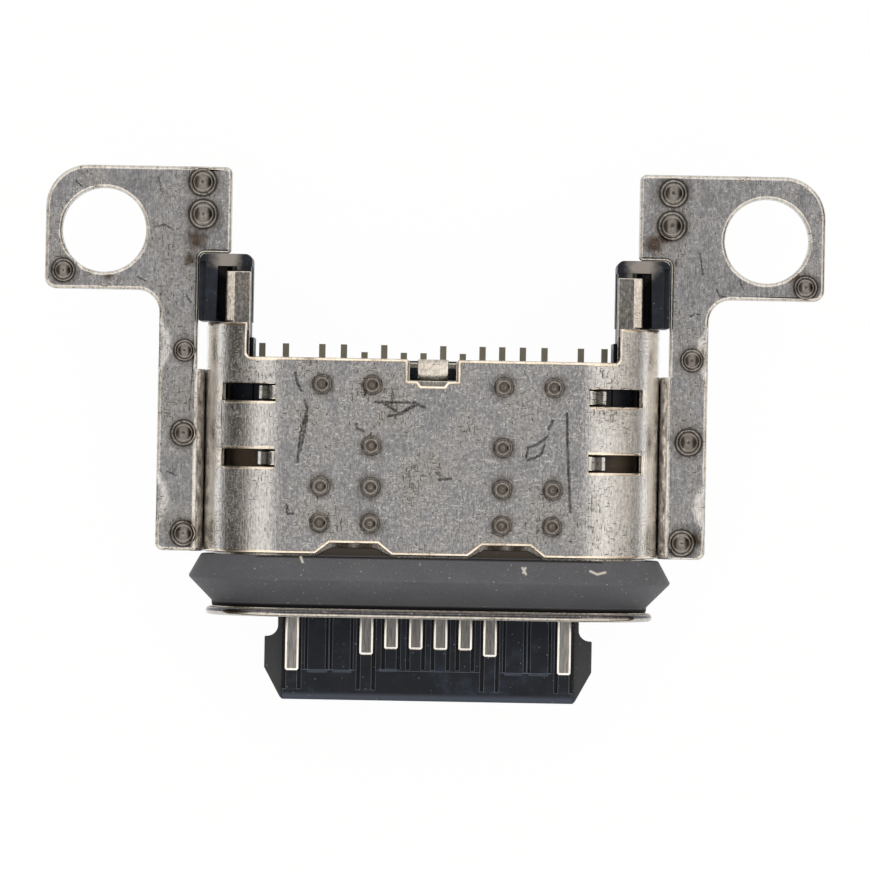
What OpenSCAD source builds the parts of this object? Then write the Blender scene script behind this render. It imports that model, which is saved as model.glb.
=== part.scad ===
// Sealed charging port with two screw ears: a tongue with contacts on both faces inside a drawn tube,
// a rolled outer shell welded round the tube, a saddle bracket below it and a rubber ring at the mouth.
// X runs to the right and Y to the rear, so the plug comes from -Y. Z points up.
// The origin lies midway between the screw holes, on the underside of the ears. Sizes are in mm.

/* [Plug opening] */
// Width of the opening inside the drawn tube
cavity_w = 8.43; // [8.36:0.01:8.60]
// Height of the opening inside the drawn tube
cavity_h = 2.56; // [2.50:0.01:2.64]
// Depth from the flange face to the wall behind the tongue
cavity_depth = 2.76; // [2.60:0.02:2.90]
// Distance from the screw line forward to the flange face
mouth_ahead = 7.73; // [7.50:0.01:8.00]

/* [Tongue] */
// How far the tongue stands out in front of the flange
tongue_reach = 1.69; // [1.55:0.01:1.85]
// Thickness of the tongue over its contact faces
tongue_t = 0.70; // [0.64:0.02:0.80]
// Width of the tongue over its side rails
tongue_w = 6.62; // [6.50:0.01:6.80]
// Thickness of the side rails
rail_t = 0.40; // [0.34:0.02:0.50]
// Depth of the latch notch in each side rail
latch_notch = 0.27; // [0.18:0.01:0.30]
// Thickness of the steel plate inside the tongue
mid_t = 0.16; // [0.12:0.01:0.20]

/* [Contacts] */
// Distance between neighbouring contact places
pitch = 0.50; // [0.48:0.005:0.51]
// Width of a contact on the tongue
contact_w = 0.27; // [0.22:0.01:0.28]
// Thickness of the contact sheet
contact_t = 0.12; // [0.10:0.01:0.14]
// Width of a tail
tail_w = 0.13; // [0.10:0.01:0.16]
// Depth of the underside of the tails below the plug axis
tail_drop = 0.72; // [0.68:0.02:0.90]

/* [Inner shell] */
// Wall of the drawn tube
tube_t = 0.15; // [0.12:0.01:0.18]
// Thickness of the flange at the mouth
flange_t = 0.16; // [0.14:0.01:0.20]
// Height of the flange over the tube
flange_lip = 0.15; // [0.12:0.01:0.17]
// Lead-in at the mouth
lead_in = 0.10; // [0.04:0.01:0.12]

/* [Outer shell] */
// Sheet thickness of the outer shell
shell_t = 0.20; // [0.16:0.01:0.22]
// Length of the outer shell along its top face
shell_len = 3.94; // [3.80:0.02:4.10]
// Reach of the two rear lobes behind the top face
lobe_len = 0.69; // [0.50:0.01:0.80]
// Running gap between pieces that slide into each other
fit = 0.02; // [0.01:0.005:0.025]

/* [Seal ring] */
// Length of the seal ring along the tube
seal_len = 0.94; // [0.88:0.01:1.00]
// Height of the sealing lip over the tube
seal_lip = 0.51; // [0.42:0.01:0.56]
// Height of the rear face of the seal over the tube
seal_back = 0.265; // [0.23:0.005:0.30]
// Length of the thin foot of the seal, between its lip and the flange
seal_groove = 0.13; // [0.08:0.01:0.18]

/* [Bracket] */
// Distance between the two screw holes
hole_pitch = 13.40; // [13.20:0.02:13.80]
// Screw hole diameter
hole_d = 1.70; // [1.50:0.02:1.76]
// Sheet thickness of the saddle bracket
sheet_t = 0.20; // [0.16:0.01:0.22]
// Thickness of the plates under the wings
ear_t = 0.20; // [0.16:0.01:0.24]
// Outer radius of the bend between wing and saddle
bend_r = 0.23; // [0.22:0.01:0.28]
// Height of the straight part of the saddle's sides over the plug axis
side_rise = 0.07; // [0.04:0.01:0.12]
// Width of the strip beside the shell
strip_w = 0.785; // [0.74:0.005:0.82]
// Metal between a screw hole and the outer edge of its ear
ear_rim = 0.33; // [0.28:0.01:0.40]

/* [Hidden] */
$fn = 64;
e = 0.02;

// Radii about the plug axis. All rings share one spine, the straight part of the flattened tube.
cavity_r = cavity_h / 2;
spine = cavity_w / 2 - cavity_r;
core_r = cavity_r - fit;
tube_r = cavity_r + tube_t;
flange_r = tube_r + flange_lip;
bore_r = tube_r + fit;
shell_r = bore_r + shell_t;
saddle_ri = shell_r + fit;
saddle_ro = saddle_ri + sheet_t;
axis_z = ear_t + sheet_t - bend_r - side_rise;

// Places along Y, from the tip of the tongue to the rear posts
mouth_y = -mouth_ahead;
tip_y = mouth_y - tongue_reach;
wall_front = mouth_y + cavity_depth;
wall_back = wall_front + 0.97;
root_front = wall_front - 0.88;
seal_front = mouth_y + flange_t + seal_groove;
seal_rear = seal_front + seal_len;
foot_front = mouth_y + flange_t + fit;
shell_front = seal_rear + 2 * fit;
shell_rear = shell_front + shell_len;
lobe_rear = shell_rear + lobe_len;
leg_rear = lobe_rear + 1.03;
post_rear = leg_rear + 0.35;
saddle_rear = shell_rear - 0.26;
tube_rear = shell_rear - 2 * fit;
carrier_front = wall_back + fit;
carrier_rear = shell_rear - 0.16;

// Places along X
shell_x = spine + shell_r;
lobe_x = spine + 0.80;
leg_x = spine + 0.765;
leg_out = spine + 1.275;
arm_x = spine + 0.685;
carrier_x = arm_x - fit;
strip_x = shell_x + 0.185;
edge_x = strip_x + strip_w;
bend_x = spine + saddle_ri + bend_r;
bend_tab = edge_x - bend_x - 0.20;
post_out = strip_x - fit;
post_in = leg_x - fit;
hole_x = hole_pitch / 2;
ear_x = hole_x + hole_d / 2 + ear_rim;
ear_top = hole_d / 2 + 0.46;
ear_low = -hole_d / 2 - 0.35;
ear_in = spine + 1.19;
notch_y = post_rear + fit;
scoop_d = sheet_t / 2;

// Tongue faces
half_t = tongue_t / 2;
half_w = tongue_w / 2;
deck_x = 5.5 * pitch + contact_w / 2 + 0.05;
neck_x = half_w - latch_notch;
plate_x = neck_x + 0.01;
lip_y = tip_y + 0.60;
lip_drop = 0.03;
proud = 0.015;

// Contact places in units of the pitch, their tips behind the tongue tip, and their tails.
// The tails of the two rows lie between each other.
places = [0.5, 1.5, 2.5, 5.5];
tips = [1.05, 1.05, 0.93, 0.59];
spares = [3.5, 4.5];
tail_scale = (carrier_x - 0.12) / 3.48;
upper_tails = [0.20, 1.00, 2.26, 3.48];
lower_tails = [0.60, 1.40, 1.82, 3.00];
tail_reach = 0.30;
// Some tails of the used part are shorter than the others.
short_upper = [-1];
short_lower = [-2, -1, 1];
tail_short = 0.15;
drop_y = carrier_rear + fit + contact_t;
jog_front = carrier_front + 0.05;
jog_back = carrier_rear - 0.25;

// Weld spots on the wings: side, distance out from the strip's, ear's or hole's place, Y, and diameter
strip_welds = [[1, 0.46, 0.09, 0.42], [1, 0.42, -1.57, 0.50], [1, 0.31, -3.61, 0.50],
               [-1, 0.26, 0.11, 0.40], [-1, 0.25, -1.56, 0.48], [-1, 0.22, -3.59, 0.48]];
ear_welds = [[1, 0.675, 0.94, 0.52], [1, 0.655, 0.28, 0.54],
             [-1, 0.595, 1.00, 0.52], [-1, 0.575, 0.35, 0.54]];
rim_welds = [[1, 0.80, -0.92, 0.44], [-1, 0.81, -0.83, 0.44]];
wing_welds = concat(
    [for (w = strip_welds) [w[0] * (strip_x + w[1]), shell_rear + w[2], w[3]]],
    [for (w = ear_welds) [w[0] * (ear_in + w[1]), w[2], w[3]]],
    [for (w = rim_welds) [w[0] * (hole_x + w[1]), w[2], w[3]]]
);

// Weld spots in columns and rows on the outer shell
weld_cols = [-2.22, -1.21, 1.43, 2.44];
weld_rows = [-0.53, -2.58, -3.31];
weld_mid = -1.75;
weld_d = 0.36;

// Windows and lances in the rounded sides
window_rows = [-0.71, -2.03];
window_in = spine + 0.205;
window_out = spine + 1.285;
window_w = 0.34;
lance_len = 0.35;
lance_drop = 0.24;

steel = [0.62, 0.61, 0.60];
dull_steel = [0.52, 0.50, 0.48];
black = [0.09, 0.09, 0.11];
rubber = [0.20, 0.20, 0.22];
plating = [0.66, 0.65, 0.60];

// Height of a ring of radius r over the plug axis at a distance x from the middle
function wall_z(r, x) = sqrt(r * r - pow(max(0, x - spine), 2));

// Side, place and tail of contact i, counted from the left
function side_of(i) = i < 4 ? -1 : 1;
function rank_of(i) = i < 4 ? 3 - i : i - 4;

// Flattened circle round the plug axis
module stadium(r) {
    square([2 * spine, 2 * r], center = true);
    for (s = [-1, 1])
        translate([s * spine, 0]) circle(r = r);
}

module band(ro, ri) {
    difference() {
        stadium(ro);
        stadium(ri);
    }
}

// Extrudes an outline drawn across the plug axis from y0 to y1
module along(y0, y1) {
    translate([0, y1, axis_z]) rotate([90, 0, 0]) linear_extrude(height = y1 - y0) children();
}

// Carries a profile, drawn as radius and Y, once round the spine
module round_spine() {
    translate([0, 0, axis_z]) {
        for (s = [-1, 1])
            translate([s * spine, 0, 0])
                rotate([-90, 0, 0]) rotate([0, 0, -90 * s]) rotate_extrude(angle = 180) children();
        for (s = [-1, 1])
            rotate([0, 90 * s, 0]) linear_extrude(height = 2 * spine, center = true) children();
    }
}

// Extrudes a plan outline between two heights over the plug axis
module slab(z0, z1) {
    translate([0, 0, axis_z + z0]) linear_extrude(height = z1 - z0) children();
}

module box(x0, x1, y0, y1) {
    translate([x0, y0]) square([x1 - x0, y1 - y0]);
}

module both_sides() {
    for (s = [0, 1])
        mirror([s, 0, 0]) children();
}

// What lies between a corner at p and a circle of radius r inside it; d points to the inside
module corner(p, d, r) {
    translate(p)
        mirror([d[0] < 0 ? 1 : 0, 0]) mirror([0, d[1] < 0 ? 1 : 0])
            difference() {
                translate([-e, -e]) square(r + e);
                translate([r, r]) circle(r = r);
            }
}

// Weld spot: a conical dish with a pit in the middle, and the bead round it
module weld_dish(d) {
    rotate_extrude()
        polygon([[0, -0.17 * d], [0.02 * d, -0.17 * d], [0.06 * d, -0.137 * d], [0.42 * d, -0.03 * d],
                 [0.42 * d, 0.03], [0, 0.03]]);
}

module weld_bead(d) {
    rotate_extrude()
        polygon([[0.42 * d, -0.04], [0.52 * d, -0.04], [0.52 * d, 0], [0.46 * d, 0.018], [0.42 * d, 0]]);
}

module shell_welds() {
    for (x = weld_cols) {
        for (y = weld_rows)
            translate([x, shell_rear + y, axis_z + shell_r]) children();
        if (abs(x) < 2)
            translate([x, shell_rear + weld_mid, axis_z + shell_r]) children();
    }
}

// Trapezoid notches in the front edge; g pulls the outline in
module front_notches(g, depth) {
    for (s = [-1, 1])
        translate([s * 1.53, shell_front])
            polygon([[g - 0.79, -0.2], [g - 0.79, -e], [g - 0.48, depth], [0.48 - g, depth],
                     [0.79 - g, -e], [0.79 - g, -0.2]]);
}

// Bent-in tongue of a window, drawn across the plug axis on the right side
module lance() {
    x = window_in;
    top = wall_z(shell_r, x);
    low = wall_z(bore_r, x);
    polygon([[x - 0.08, low + e], [x - 0.08, top - e / 2], [x + e, top - e], [x + 0.10, top - 0.06],
             [x + 0.22, top - lance_drop + 0.03], [x + lance_len, top - lance_drop - 0.005],
             [x + lance_len - 0.02, top - lance_drop - 0.15], [x + 0.18, low - 0.17],
             [x + 0.05, low - 0.02]]);
}

module window_cuts(grow) {
    both_sides()
        for (y = window_rows)
            slab(0.3, shell_r + e)
                difference() {
                    y0 = shell_rear + y - window_w / 2 - grow;
                    y1 = shell_rear + y + window_w / 2 + grow;
                    box(window_in - grow, window_out + grow, y0, y1);
                    corner([window_out + grow, y0], [-1, 1], 0.06);
                    corner([window_out + grow, y1], [-1, -1], 0.06);
                }
}

module outer_shell() {
    color(steel) difference() {
        union() {
            difference() {
                along(shell_front, lobe_rear) band(shell_r, bore_r);
                window_cuts(0);
            }
            both_sides()
                for (y = window_rows)
                    along(shell_rear + y - window_w / 2 + 0.03, shell_rear + y + window_w / 2 - 0.03) lance();
            shell_welds() weld_bead(weld_d);
        }
        shell_welds() weld_dish(weld_d);
        // Rear edge between the lobes, and below them
        slab(0, shell_r + e) difference() {
            box(-lobe_x, lobe_x, shell_rear, lobe_rear + e);
            for (s = [-1, 1])
                corner([s * lobe_x, shell_rear], [-s, 1], 0.10);
        }
        slab(-shell_r - e, -0.35) box(-shell_x - e, shell_x + e, shell_rear, lobe_rear + e);
        slab(-0.4, e) box(-lobe_x, lobe_x, shell_rear, lobe_rear + e);
        slab(1, shell_r + e) front_notches(0, 0.23);
        // Rear notch over the tab of the tube
        slab(1, shell_r + e)
            polygon([[-0.50, shell_rear + e], [-0.50, shell_rear - 0.43], [-0.30, shell_rear - 0.43],
                     [-0.23, shell_rear - 0.53], [0.23, shell_rear - 0.53], [0.30, shell_rear - 0.43],
                     [0.50, shell_rear - 0.43], [0.50, shell_rear + e]]);
        // Butt seam of the rolled strip
        slab(-shell_r - e, -1) box(-0.02, 0.02, shell_front - e, shell_rear + e);
    }
}

// Tab at the rear edge of the tube, bent up into the rear notch of the outer shell
module rear_tab() {
    y = shell_rear;
    translate([-0.31, 0, axis_z]) rotate([90, 0, 90]) linear_extrude(height = 0.62)
        polygon([[y - 0.47, cavity_r + 0.01], [y - 0.47, tube_r - 0.01], [y - 0.43, tube_r - 0.01],
                 [y - 0.27, tube_r + 0.12], [y, tube_r + 0.187], [y, tube_r + 0.04],
                 [y - 0.22, tube_r - 0.02], [y - 0.37, cavity_r + 0.01]]);
}

// Section of the flange, with a gently crowned rim
module rim_profile() {
    half = [[flange_r - 0.06, 0], [flange_r - 0.025, 0.08 * flange_t], [flange_r - 0.009, 0.24 * flange_t]];
    translate([0, mouth_y])
        polygon(concat([[1, 0]], half, [[flange_r, flange_t / 2]],
                       [for (k = [2, 1, 0]) [half[k][0], flange_t - half[k][1]]], [[1, flange_t]]));
}

// Section of a leg beside the post: flat on top, with a gentle slope and a bend along its outer edge
module leg_section() {
    top = cavity_r - 0.41;
    x = leg_out;
    polygon([[leg_x, top], [x - 0.19, top], [x - 0.03, top - 0.055], [x, top - 0.11], [x, top - 0.27],
             [x - tube_t, top - 0.27], [x - tube_t, top - 0.24], [x - 0.21, top - tube_t],
             [leg_x, top - tube_t]]);
}

// Leg that runs back from the tube; its root keeps inside the round of the tube, under the lobe
module leg() {
    along(lobe_rear - 0.25, lobe_rear + 2 * fit) intersection() {
        leg_section();
        stadium(tube_r - fit);
    }
    along(lobe_rear + fit, leg_rear) leg_section();
}

module inner_shell() {
    color(dull_steel) union() {
        difference() {
            union() {
                along(mouth_y + flange_t / 2, leg_rear) stadium(tube_r);
                round_spine() rim_profile();
            }
            along(mouth_y - 1, leg_rear + 1) stadium(cavity_r);
            round_spine()
                polygon([[cavity_r + lead_in + 0.05, mouth_y - 0.07],
                         [cavity_r - 0.05, mouth_y + 1.4 * (lead_in + 0.05)],
                         [cavity_r - 0.05, mouth_y - 0.07]]);
            window_cuts(0.05);
            // Rear edge: only the two legs stay
            slab(-2, 0.3) box(-shell_x, shell_x, tube_rear, leg_rear + 1);
            slab(0.2, 2) box(-leg_x, leg_x, tube_rear, leg_rear + 1);
            both_sides() slab(0.2, 2) box(leg_out, shell_x, tube_rear, leg_rear + 1);
            slab(0.2, 2) box(-shell_x, shell_x, lobe_rear - 0.15, leg_rear + 1);
            // Slot round the tab
            slab(1, 2) box(-0.46, 0.46, shell_rear - 0.42, shell_rear);
        }
        both_sides() leg();
        rear_tab();
    }
}

// Plan of a wing, or of the plate under it, on the right. Ahead of y its edge stands back to x, at the bend.
module ear_plan(x, y) {
    difference() {
        union() {
            box(ear_in, ear_x, notch_y, ear_top);
            box(strip_x, ear_x, ear_low, notch_y + e);
            box(strip_x, edge_x, y, ear_low + e);
            box(x, edge_x, shell_front, y + e);
            corner([edge_x, ear_low], [1, -1], 0.45);
            corner([strip_x, notch_y], [-1, -1], 0.12);
        }
        translate([hole_x, 0]) circle(d = hole_d);
        corner([ear_x, ear_top], [-1, -1], 0.85);
        corner([ear_x, ear_low], [-1, 1], 0.22);
        corner([ear_in, ear_top], [1, -1], 0.13);
        corner([ear_in, notch_y], [1, 1], 0.08);
        corner([edge_x, shell_front], [-1, 1], 0.15);
    }
}

// Coined scoops in the outer edge of the wings, shallow and deepest at the edge
module scoops() {
    for (y = [0.22, -2.88])
        translate([edge_x + 0.40, shell_rear + y, ear_t + sheet_t - scoop_d])
            cylinder(h = scoop_d + e, r1 = 0.40, r2 = 0.40 + 3.1 * (scoop_d + e));
}

// Stiffening plate under a wing, clear of the bend
module ear_plate() {
    color(dull_steel) linear_extrude(height = ear_t) ear_plan(bend_x + fit, saddle_rear + fit);
}

module left_ear_plate() {
    mirror([1, 0, 0]) ear_plate();
}

module right_ear_plate() {
    ear_plate();
}

// Section of the sheet that hugs the lower half of the shell and bends out into the wings
module saddle_section() {
    intersection() {
        band(saddle_ro, saddle_ri);
        box(-spine - saddle_ro - e, spine + saddle_ro + e, -saddle_ro - e, 0);
    }
    both_sides() box(spine + saddle_ri, spine + saddle_ro, 0, side_rise);
    both_sides() translate([bend_x, side_rise]) {
        intersection() {
            difference() {
                circle(r = bend_r);
                circle(r = bend_r - sheet_t);
            }
            box(-bend_r - e, 0, 0, bend_r + e);
        }
        box(0, bend_tab, bend_r - sheet_t, bend_r);
    }
}

module saddle_bracket() {
    color(steel) difference() {
        union() {
            both_sides() translate([0, 0, ear_t])
                linear_extrude(height = sheet_t) ear_plan(bend_x + bend_tab / 2, saddle_rear);
            along(shell_front, saddle_rear) saddle_section();
            for (w = wing_welds)
                translate([w[0], w[1], ear_t + sheet_t]) weld_bead(w[2]);
        }
        for (w = wing_welds)
            translate([w[0], w[1], ear_t + sheet_t]) weld_dish(w[2]);
        both_sides() scoops();
        // Weld dishes on the underside of the web
        for (x = [-2.4, -1.2, 1.2, 2.4], y = [-0.9, -3.1])
            translate([x, shell_rear + y, axis_z - saddle_ro]) mirror([0, 0, 1]) weld_dish(weld_d);
    }
}

module seal_ring() {
    color(rubber) {
        round_spine()
            polygon([[tube_r, foot_front], [tube_r + 0.03, foot_front], [tube_r + 0.04, seal_front],
                     [tube_r + seal_lip - 0.03, seal_front + 0.44],
                     [tube_r + seal_lip, seal_front + 0.475], [tube_r + seal_lip - 0.01, seal_front + 0.51],
                     [tube_r + seal_back, seal_rear], [tube_r, seal_rear]]);
        // Lugs in the front notches of the outer shell
        slab(tube_r, tube_r + 0.13) difference() {
            front_notches(0.04, 0.14);
            box(-spine, spine, shell_front - 1, seal_rear - e);
        }
    }
}

// Plan of the side rails on the right
module rail_plan() {
    difference() {
        polygon([[0, root_front], [half_w, root_front], [half_w, tip_y + 0.64], [half_w - 0.32, tip_y + 0.05],
                 [half_w - 0.37, tip_y], [0, tip_y]]);
        difference() {
            box(neck_x, half_w + 1, tip_y + 1.26, tip_y + 2.50);
            corner([neck_x, tip_y + 1.26], [1, 1], 0.24);
            corner([neck_x, tip_y + 2.50], [1, -1], 0.24);
        }
    }
}

// Slots beside the contact places of one tongue face
module deck_slots() {
    for (s = [-1, 1], d = [-1, 1]) {
        for (k = [0:3])
            translate([s * places[k] * pitch + d * (contact_w / 2 + 0.018) - 0.037, 0])
                box(0, 0.074, tip_y + (k < 2 ? 0.64 : 0.22), root_front - 0.3);
        for (k = spares)
            translate([s * k * pitch + d * 0.21 - 0.025, 0])
                box(0, 0.05, tip_y + 0.62, root_front - 0.3);
    }
}

// Pads of the deck that run on in front of the outer contacts
module lip_pads() {
    for (s = [-1, 1])
        for (k = [2, 3])
            translate([s * places[k] * pitch, 0])
                box(-contact_w / 2 - 0.01, contact_w / 2 + 0.01, tip_y + 0.09, lip_y + e);
}

// One face of the tongue, drawn upwards from the middle of the rails
module deck() {
    difference() {
        union() {
            slab(0, half_t) box(-deck_x, deck_x, lip_y, root_front + e);
            slab(0, half_t - lip_drop) box(-deck_x, deck_x, tip_y, lip_y + e);
            slab(0, half_t) lip_pads();
        }
        slab(half_t - 0.07, half_t + e) deck_slots();
        // Bevel along the tip
        translate([-deck_x - e, tip_y, axis_z + half_t - lip_drop - 0.085]) rotate([25, 0, 0])
            translate([0, -1, 0]) cube([2 * deck_x + 2 * e, 2, 1]);
    }
}

module post() {
    slab(-1.05, 0.72) difference() {
        box(post_in, post_out, lobe_rear + fit, post_rear);
        corner([post_in, post_rear], [1, -1], 0.14);
        corner([post_out, post_rear], [-1, -1], 0.14);
    }
}

module tongue_housing() {
    color(black) difference() {
        union() {
            both_sides() slab(-rail_t / 2, rail_t / 2) rail_plan();
            deck();
            translate([0, 0, 2 * axis_z]) mirror([0, 0, 1]) deck();
            slab(-0.65, 0.65) box(-half_w - 0.1, half_w + 0.1, root_front, wall_front + e);
            // Wall behind the tongue, and the two arms that run back from it
            difference() {
                along(wall_front, post_rear - 0.20) stadium(core_r);
                slab(-2, 2) box(-arm_x, arm_x, wall_back, post_rear);
                slab(-2, 2) box(-leg_x, leg_x, lobe_rear - 0.30, post_rear);
                slab(cavity_r - 0.41 - tube_t - fit, 2) box(-shell_x, shell_x, lobe_rear - 0.30, post_rear);
                slab(cavity_r - 0.75, 2) both_sides()
                    box(leg_out - tube_t - 0.07, shell_x, lobe_rear - 0.30, post_rear);
            }
            both_sides() difference() {
                post();
                slab(-0.2, 2) box(post_in - e, post_out - 0.38, lobe_rear, post_rear - 0.25);
                slab(0.57, 2) box(post_out - 0.12, post_out + e, lobe_rear, post_rear - 0.16);
            }
        }
        bead_ring();
        mid_plate();
        upper_ground_collar();
        lower_ground_collar();
        for (i = [0:7]) {
            slab(half_t + proud - contact_t, half_t + 1) blade(i, wall_front - 0.5);
            slab(half_t + proud - contact_t, half_t + proud) blade(i, wall_back + 1);
            slab(-half_t - 1, -half_t - proud + contact_t) blade(i, wall_front - 0.5);
            slab(-half_t - proud, -half_t - proud + contact_t) blade(i, wall_back + 1);
        }
    }
}

// Plan of the straight part of contact i, back to y1
module blade(i, y1) {
    x = side_of(i) * places[rank_of(i)] * pitch;
    y = tip_y + tips[rank_of(i)];
    polygon([[x - contact_w / 2, y + 0.03], [x - contact_w / 2 + 0.03, y], [x + contact_w / 2 - 0.03, y],
             [x + contact_w / 2, y + 0.03], [x + contact_w / 2, y1], [x - contact_w / 2, y1]]);
}

module bead_ring() {
    along(wall_back - 0.31, wall_back - 0.09) band(cavity_r, core_r - 0.18);
}

module seal_bead() {
    color(rubber) bead_ring();
}

module mid_plate() {
    color(dull_steel) slab(-mid_t / 2, mid_t / 2) {
        box(-plate_x, plate_x, tip_y + 0.80, carrier_rear);
        box(-plate_x + 0.5, plate_x - 0.5, tip_y + 0.45, tip_y + 0.80 + e);
    }
}

// Thin pad on the root of the tongue, with its rear edge against the wall
module collar_plan() {
    difference() {
        box(-half_w + 0.25, half_w - 0.25, root_front + 0.12, wall_front);
        corner([half_w - 0.25, root_front + 0.12], [-1, 1], 0.12);
        corner([0.25 - half_w, root_front + 0.12], [1, 1], 0.12);
    }
}

module upper_ground_collar() {
    color(steel) slab(0.60, 0.72) collar_plan();
}

module lower_ground_collar() {
    color(steel) slab(-0.72, -0.60) collar_plan();
}

module carrier_half() {
    intersection() {
        along(carrier_front, carrier_rear) stadium(core_r);
        slab(mid_t / 2, 2) box(-carrier_x, carrier_x, carrier_front - e, carrier_rear + e);
    }
}

module upper_contact_carrier() {
    color(black) difference() {
        carrier_half();
        slab(core_r - 0.30, 2) box(-0.50, 0.50, shell_rear - 0.56, carrier_rear + e);
        for (i = [0:7]) upper_contact(i);
    }
}

module lower_contact_carrier() {
    color(black) difference() {
        translate([0, 0, 2 * axis_z]) mirror([0, 0, 1]) carrier_half();
        for (i = [0:7]) lower_contact(i);
    }
}

// A quarter of a bend with outer radius r about p, open towards d
module bend(p, d, r) {
    translate(p) intersection() {
        difference() {
            circle(r = r);
            circle(r = r - contact_t);
        }
        box(d[0] < 0 ? -r - e : 0, d[0] < 0 ? 0 : r + e, d[1] < 0 ? -r - e : 0, d[1] < 0 ? 0 : r + e);
    }
}

// One contact: flat on the tongue, set over to its tail inside the carrier, then bent down and out.
// z0 is its underside over the plug axis.
module contact(x, tip, tail_x, tail_y, z0) {
    r = contact_t + 0.04;
    z1 = z0 + contact_t;
    low = -tail_drop;
    color(plating) {
        slab(z0, z1)
            polygon([[x - contact_w / 2, tip + 0.03], [x - contact_w / 2 + 0.03, tip],
                     [x + contact_w / 2 - 0.03, tip], [x + contact_w / 2, tip + 0.03],
                     [x + contact_w / 2, jog_front], [tail_x + tail_w / 2, jog_back],
                     [tail_x + tail_w / 2, drop_y - r], [tail_x - tail_w / 2, drop_y - r],
                     [tail_x - tail_w / 2, jog_back], [x - contact_w / 2, jog_front]]);
        translate([tail_x - tail_w / 2, 0, axis_z]) rotate([90, 0, 90]) linear_extrude(height = tail_w) {
            bend([drop_y - r, z1 - r], [1, 1], r);
            box(drop_y - contact_t, drop_y, low + r, z1 - r);
            bend([drop_y - contact_t + r, low + r], [-1, -1], r);
            box(drop_y - contact_t + r, tail_y, low, low + contact_t);
        }
    }
}

function has(list, v) = len([for (q = list) if (q == v) q]) > 0;
function tail_end(short, i) =
    shell_rear + tail_reach - (has(short, side_of(i) * (rank_of(i) + 1)) ? tail_short : 0);

module upper_contact(i) {
    k = rank_of(i);
    s = side_of(i);
    contact(s * places[k] * pitch, tip_y + tips[k], s * upper_tails[k] * tail_scale, tail_end(short_upper, i),
            half_t + proud - contact_t);
}

module lower_contact(i) {
    k = rank_of(i);
    s = side_of(i);
    contact(s * places[k] * pitch, tip_y + tips[k], s * lower_tails[k] * tail_scale, tail_end(short_lower, i),
            -half_t - proud);
}

outer_shell();
inner_shell();
saddle_bracket();
left_ear_plate();
right_ear_plate();
seal_ring();
tongue_housing();
mid_plate();
upper_contact_carrier();
lower_contact_carrier();
upper_ground_collar();
lower_ground_collar();
seal_bead();
for (i = [0:7])
    upper_contact(i);
for (i = [0:7])
    lower_contact(i);
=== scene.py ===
"""Looks of a sealed charging port with two screw ears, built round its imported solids.

Every piece is in metres in the frame of the solids: X to the right, Y to the rear, Z up out of the welded face.
"""

import logging
import math
from dataclasses import dataclass
from enum import Enum, IntEnum
from typing import Any, Callable, ClassVar, Optional

import bmesh
import bpy
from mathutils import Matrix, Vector, noise

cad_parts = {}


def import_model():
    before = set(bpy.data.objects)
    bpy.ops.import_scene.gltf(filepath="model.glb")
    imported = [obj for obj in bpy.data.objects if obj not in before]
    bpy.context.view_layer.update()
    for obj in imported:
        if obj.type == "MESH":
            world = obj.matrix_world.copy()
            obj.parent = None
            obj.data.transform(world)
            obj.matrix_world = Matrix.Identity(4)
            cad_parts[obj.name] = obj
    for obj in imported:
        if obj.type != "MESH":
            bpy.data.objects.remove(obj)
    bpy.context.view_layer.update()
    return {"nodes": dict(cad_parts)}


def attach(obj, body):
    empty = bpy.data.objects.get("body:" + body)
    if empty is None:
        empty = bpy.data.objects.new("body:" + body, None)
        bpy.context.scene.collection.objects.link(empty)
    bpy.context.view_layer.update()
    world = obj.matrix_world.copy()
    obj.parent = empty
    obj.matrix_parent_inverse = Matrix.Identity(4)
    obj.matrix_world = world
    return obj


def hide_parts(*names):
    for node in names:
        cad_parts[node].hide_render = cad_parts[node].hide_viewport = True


LOG = logging.getLogger("charging_port")
MM = 0.001
MERGE = 2e-4 * MM  # Corners of loose triangles that are closer than this are one point.
SNAP = 1e-4 * MM  # A cut goes through corners that are closer to it than this.
SLIVER = 0.002 * MM  # Shorter edges are taken out of a finished mesh.
PLANE = math.radians(0.6)  # Faces that turn by less than this are merged into one.
SHARP = math.radians(32)  # Outward edges that turn by more than this are rounded.
CREASE = math.radians(38)  # Edges that turn by more than this stay sharp to the eye.
FLAT = 0.99995  # A face counts as level or upright if one part of its normal is longer than this.
CURVED = math.cos(math.radians(9))  # A face belongs to a curved sheet if it keeps this close to its direction.
WELD_REACH = 0.6  # Radius of a weld spot with its bead, as a share of the spot's diameter.
FAR = 9.0  # Distance with which a search for the nearest mark starts.
EDGE = 1  # Place of the edge finish among a piece's materials.

Point = tuple[float, float]
Spot = tuple[float, float, float]
Stroke = tuple[Point, ...]
Stops = tuple[tuple[float, str], ...]
Socket = bpy.types.NodeSocket

# Settings of nodes that blend softly, and of those that mix two colours.
SMOOTH: dict[str, Any] = {"interpolation_type": "SMOOTHSTEP"}
COLOUR: dict[str, Any] = {"out": 2, "data_type": "RGBA"}


class Slot(Enum):
    """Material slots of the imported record."""

    ROLLED = "rolled_steel"
    DRAWN = "drawn_steel"
    BRACKET = "bracket_steel"
    EAR = "ear_steel"
    RUBBER = "seal_rubber"
    PLASTIC = "housing_plastic"
    CONTACT = "contact_alloy"


class Side(Enum):
    """The two faces of the tongue, by the sign of Z."""

    UPPER = 1
    LOWER = -1


class TubeFinish(IntEnum):
    """Finishes of the drawn tube, in the order of its materials."""

    BODY = 0
    RIM = 1
    LEG = 2
    BACK = 3
    SCUFFED_AND_LIT = 4


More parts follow.
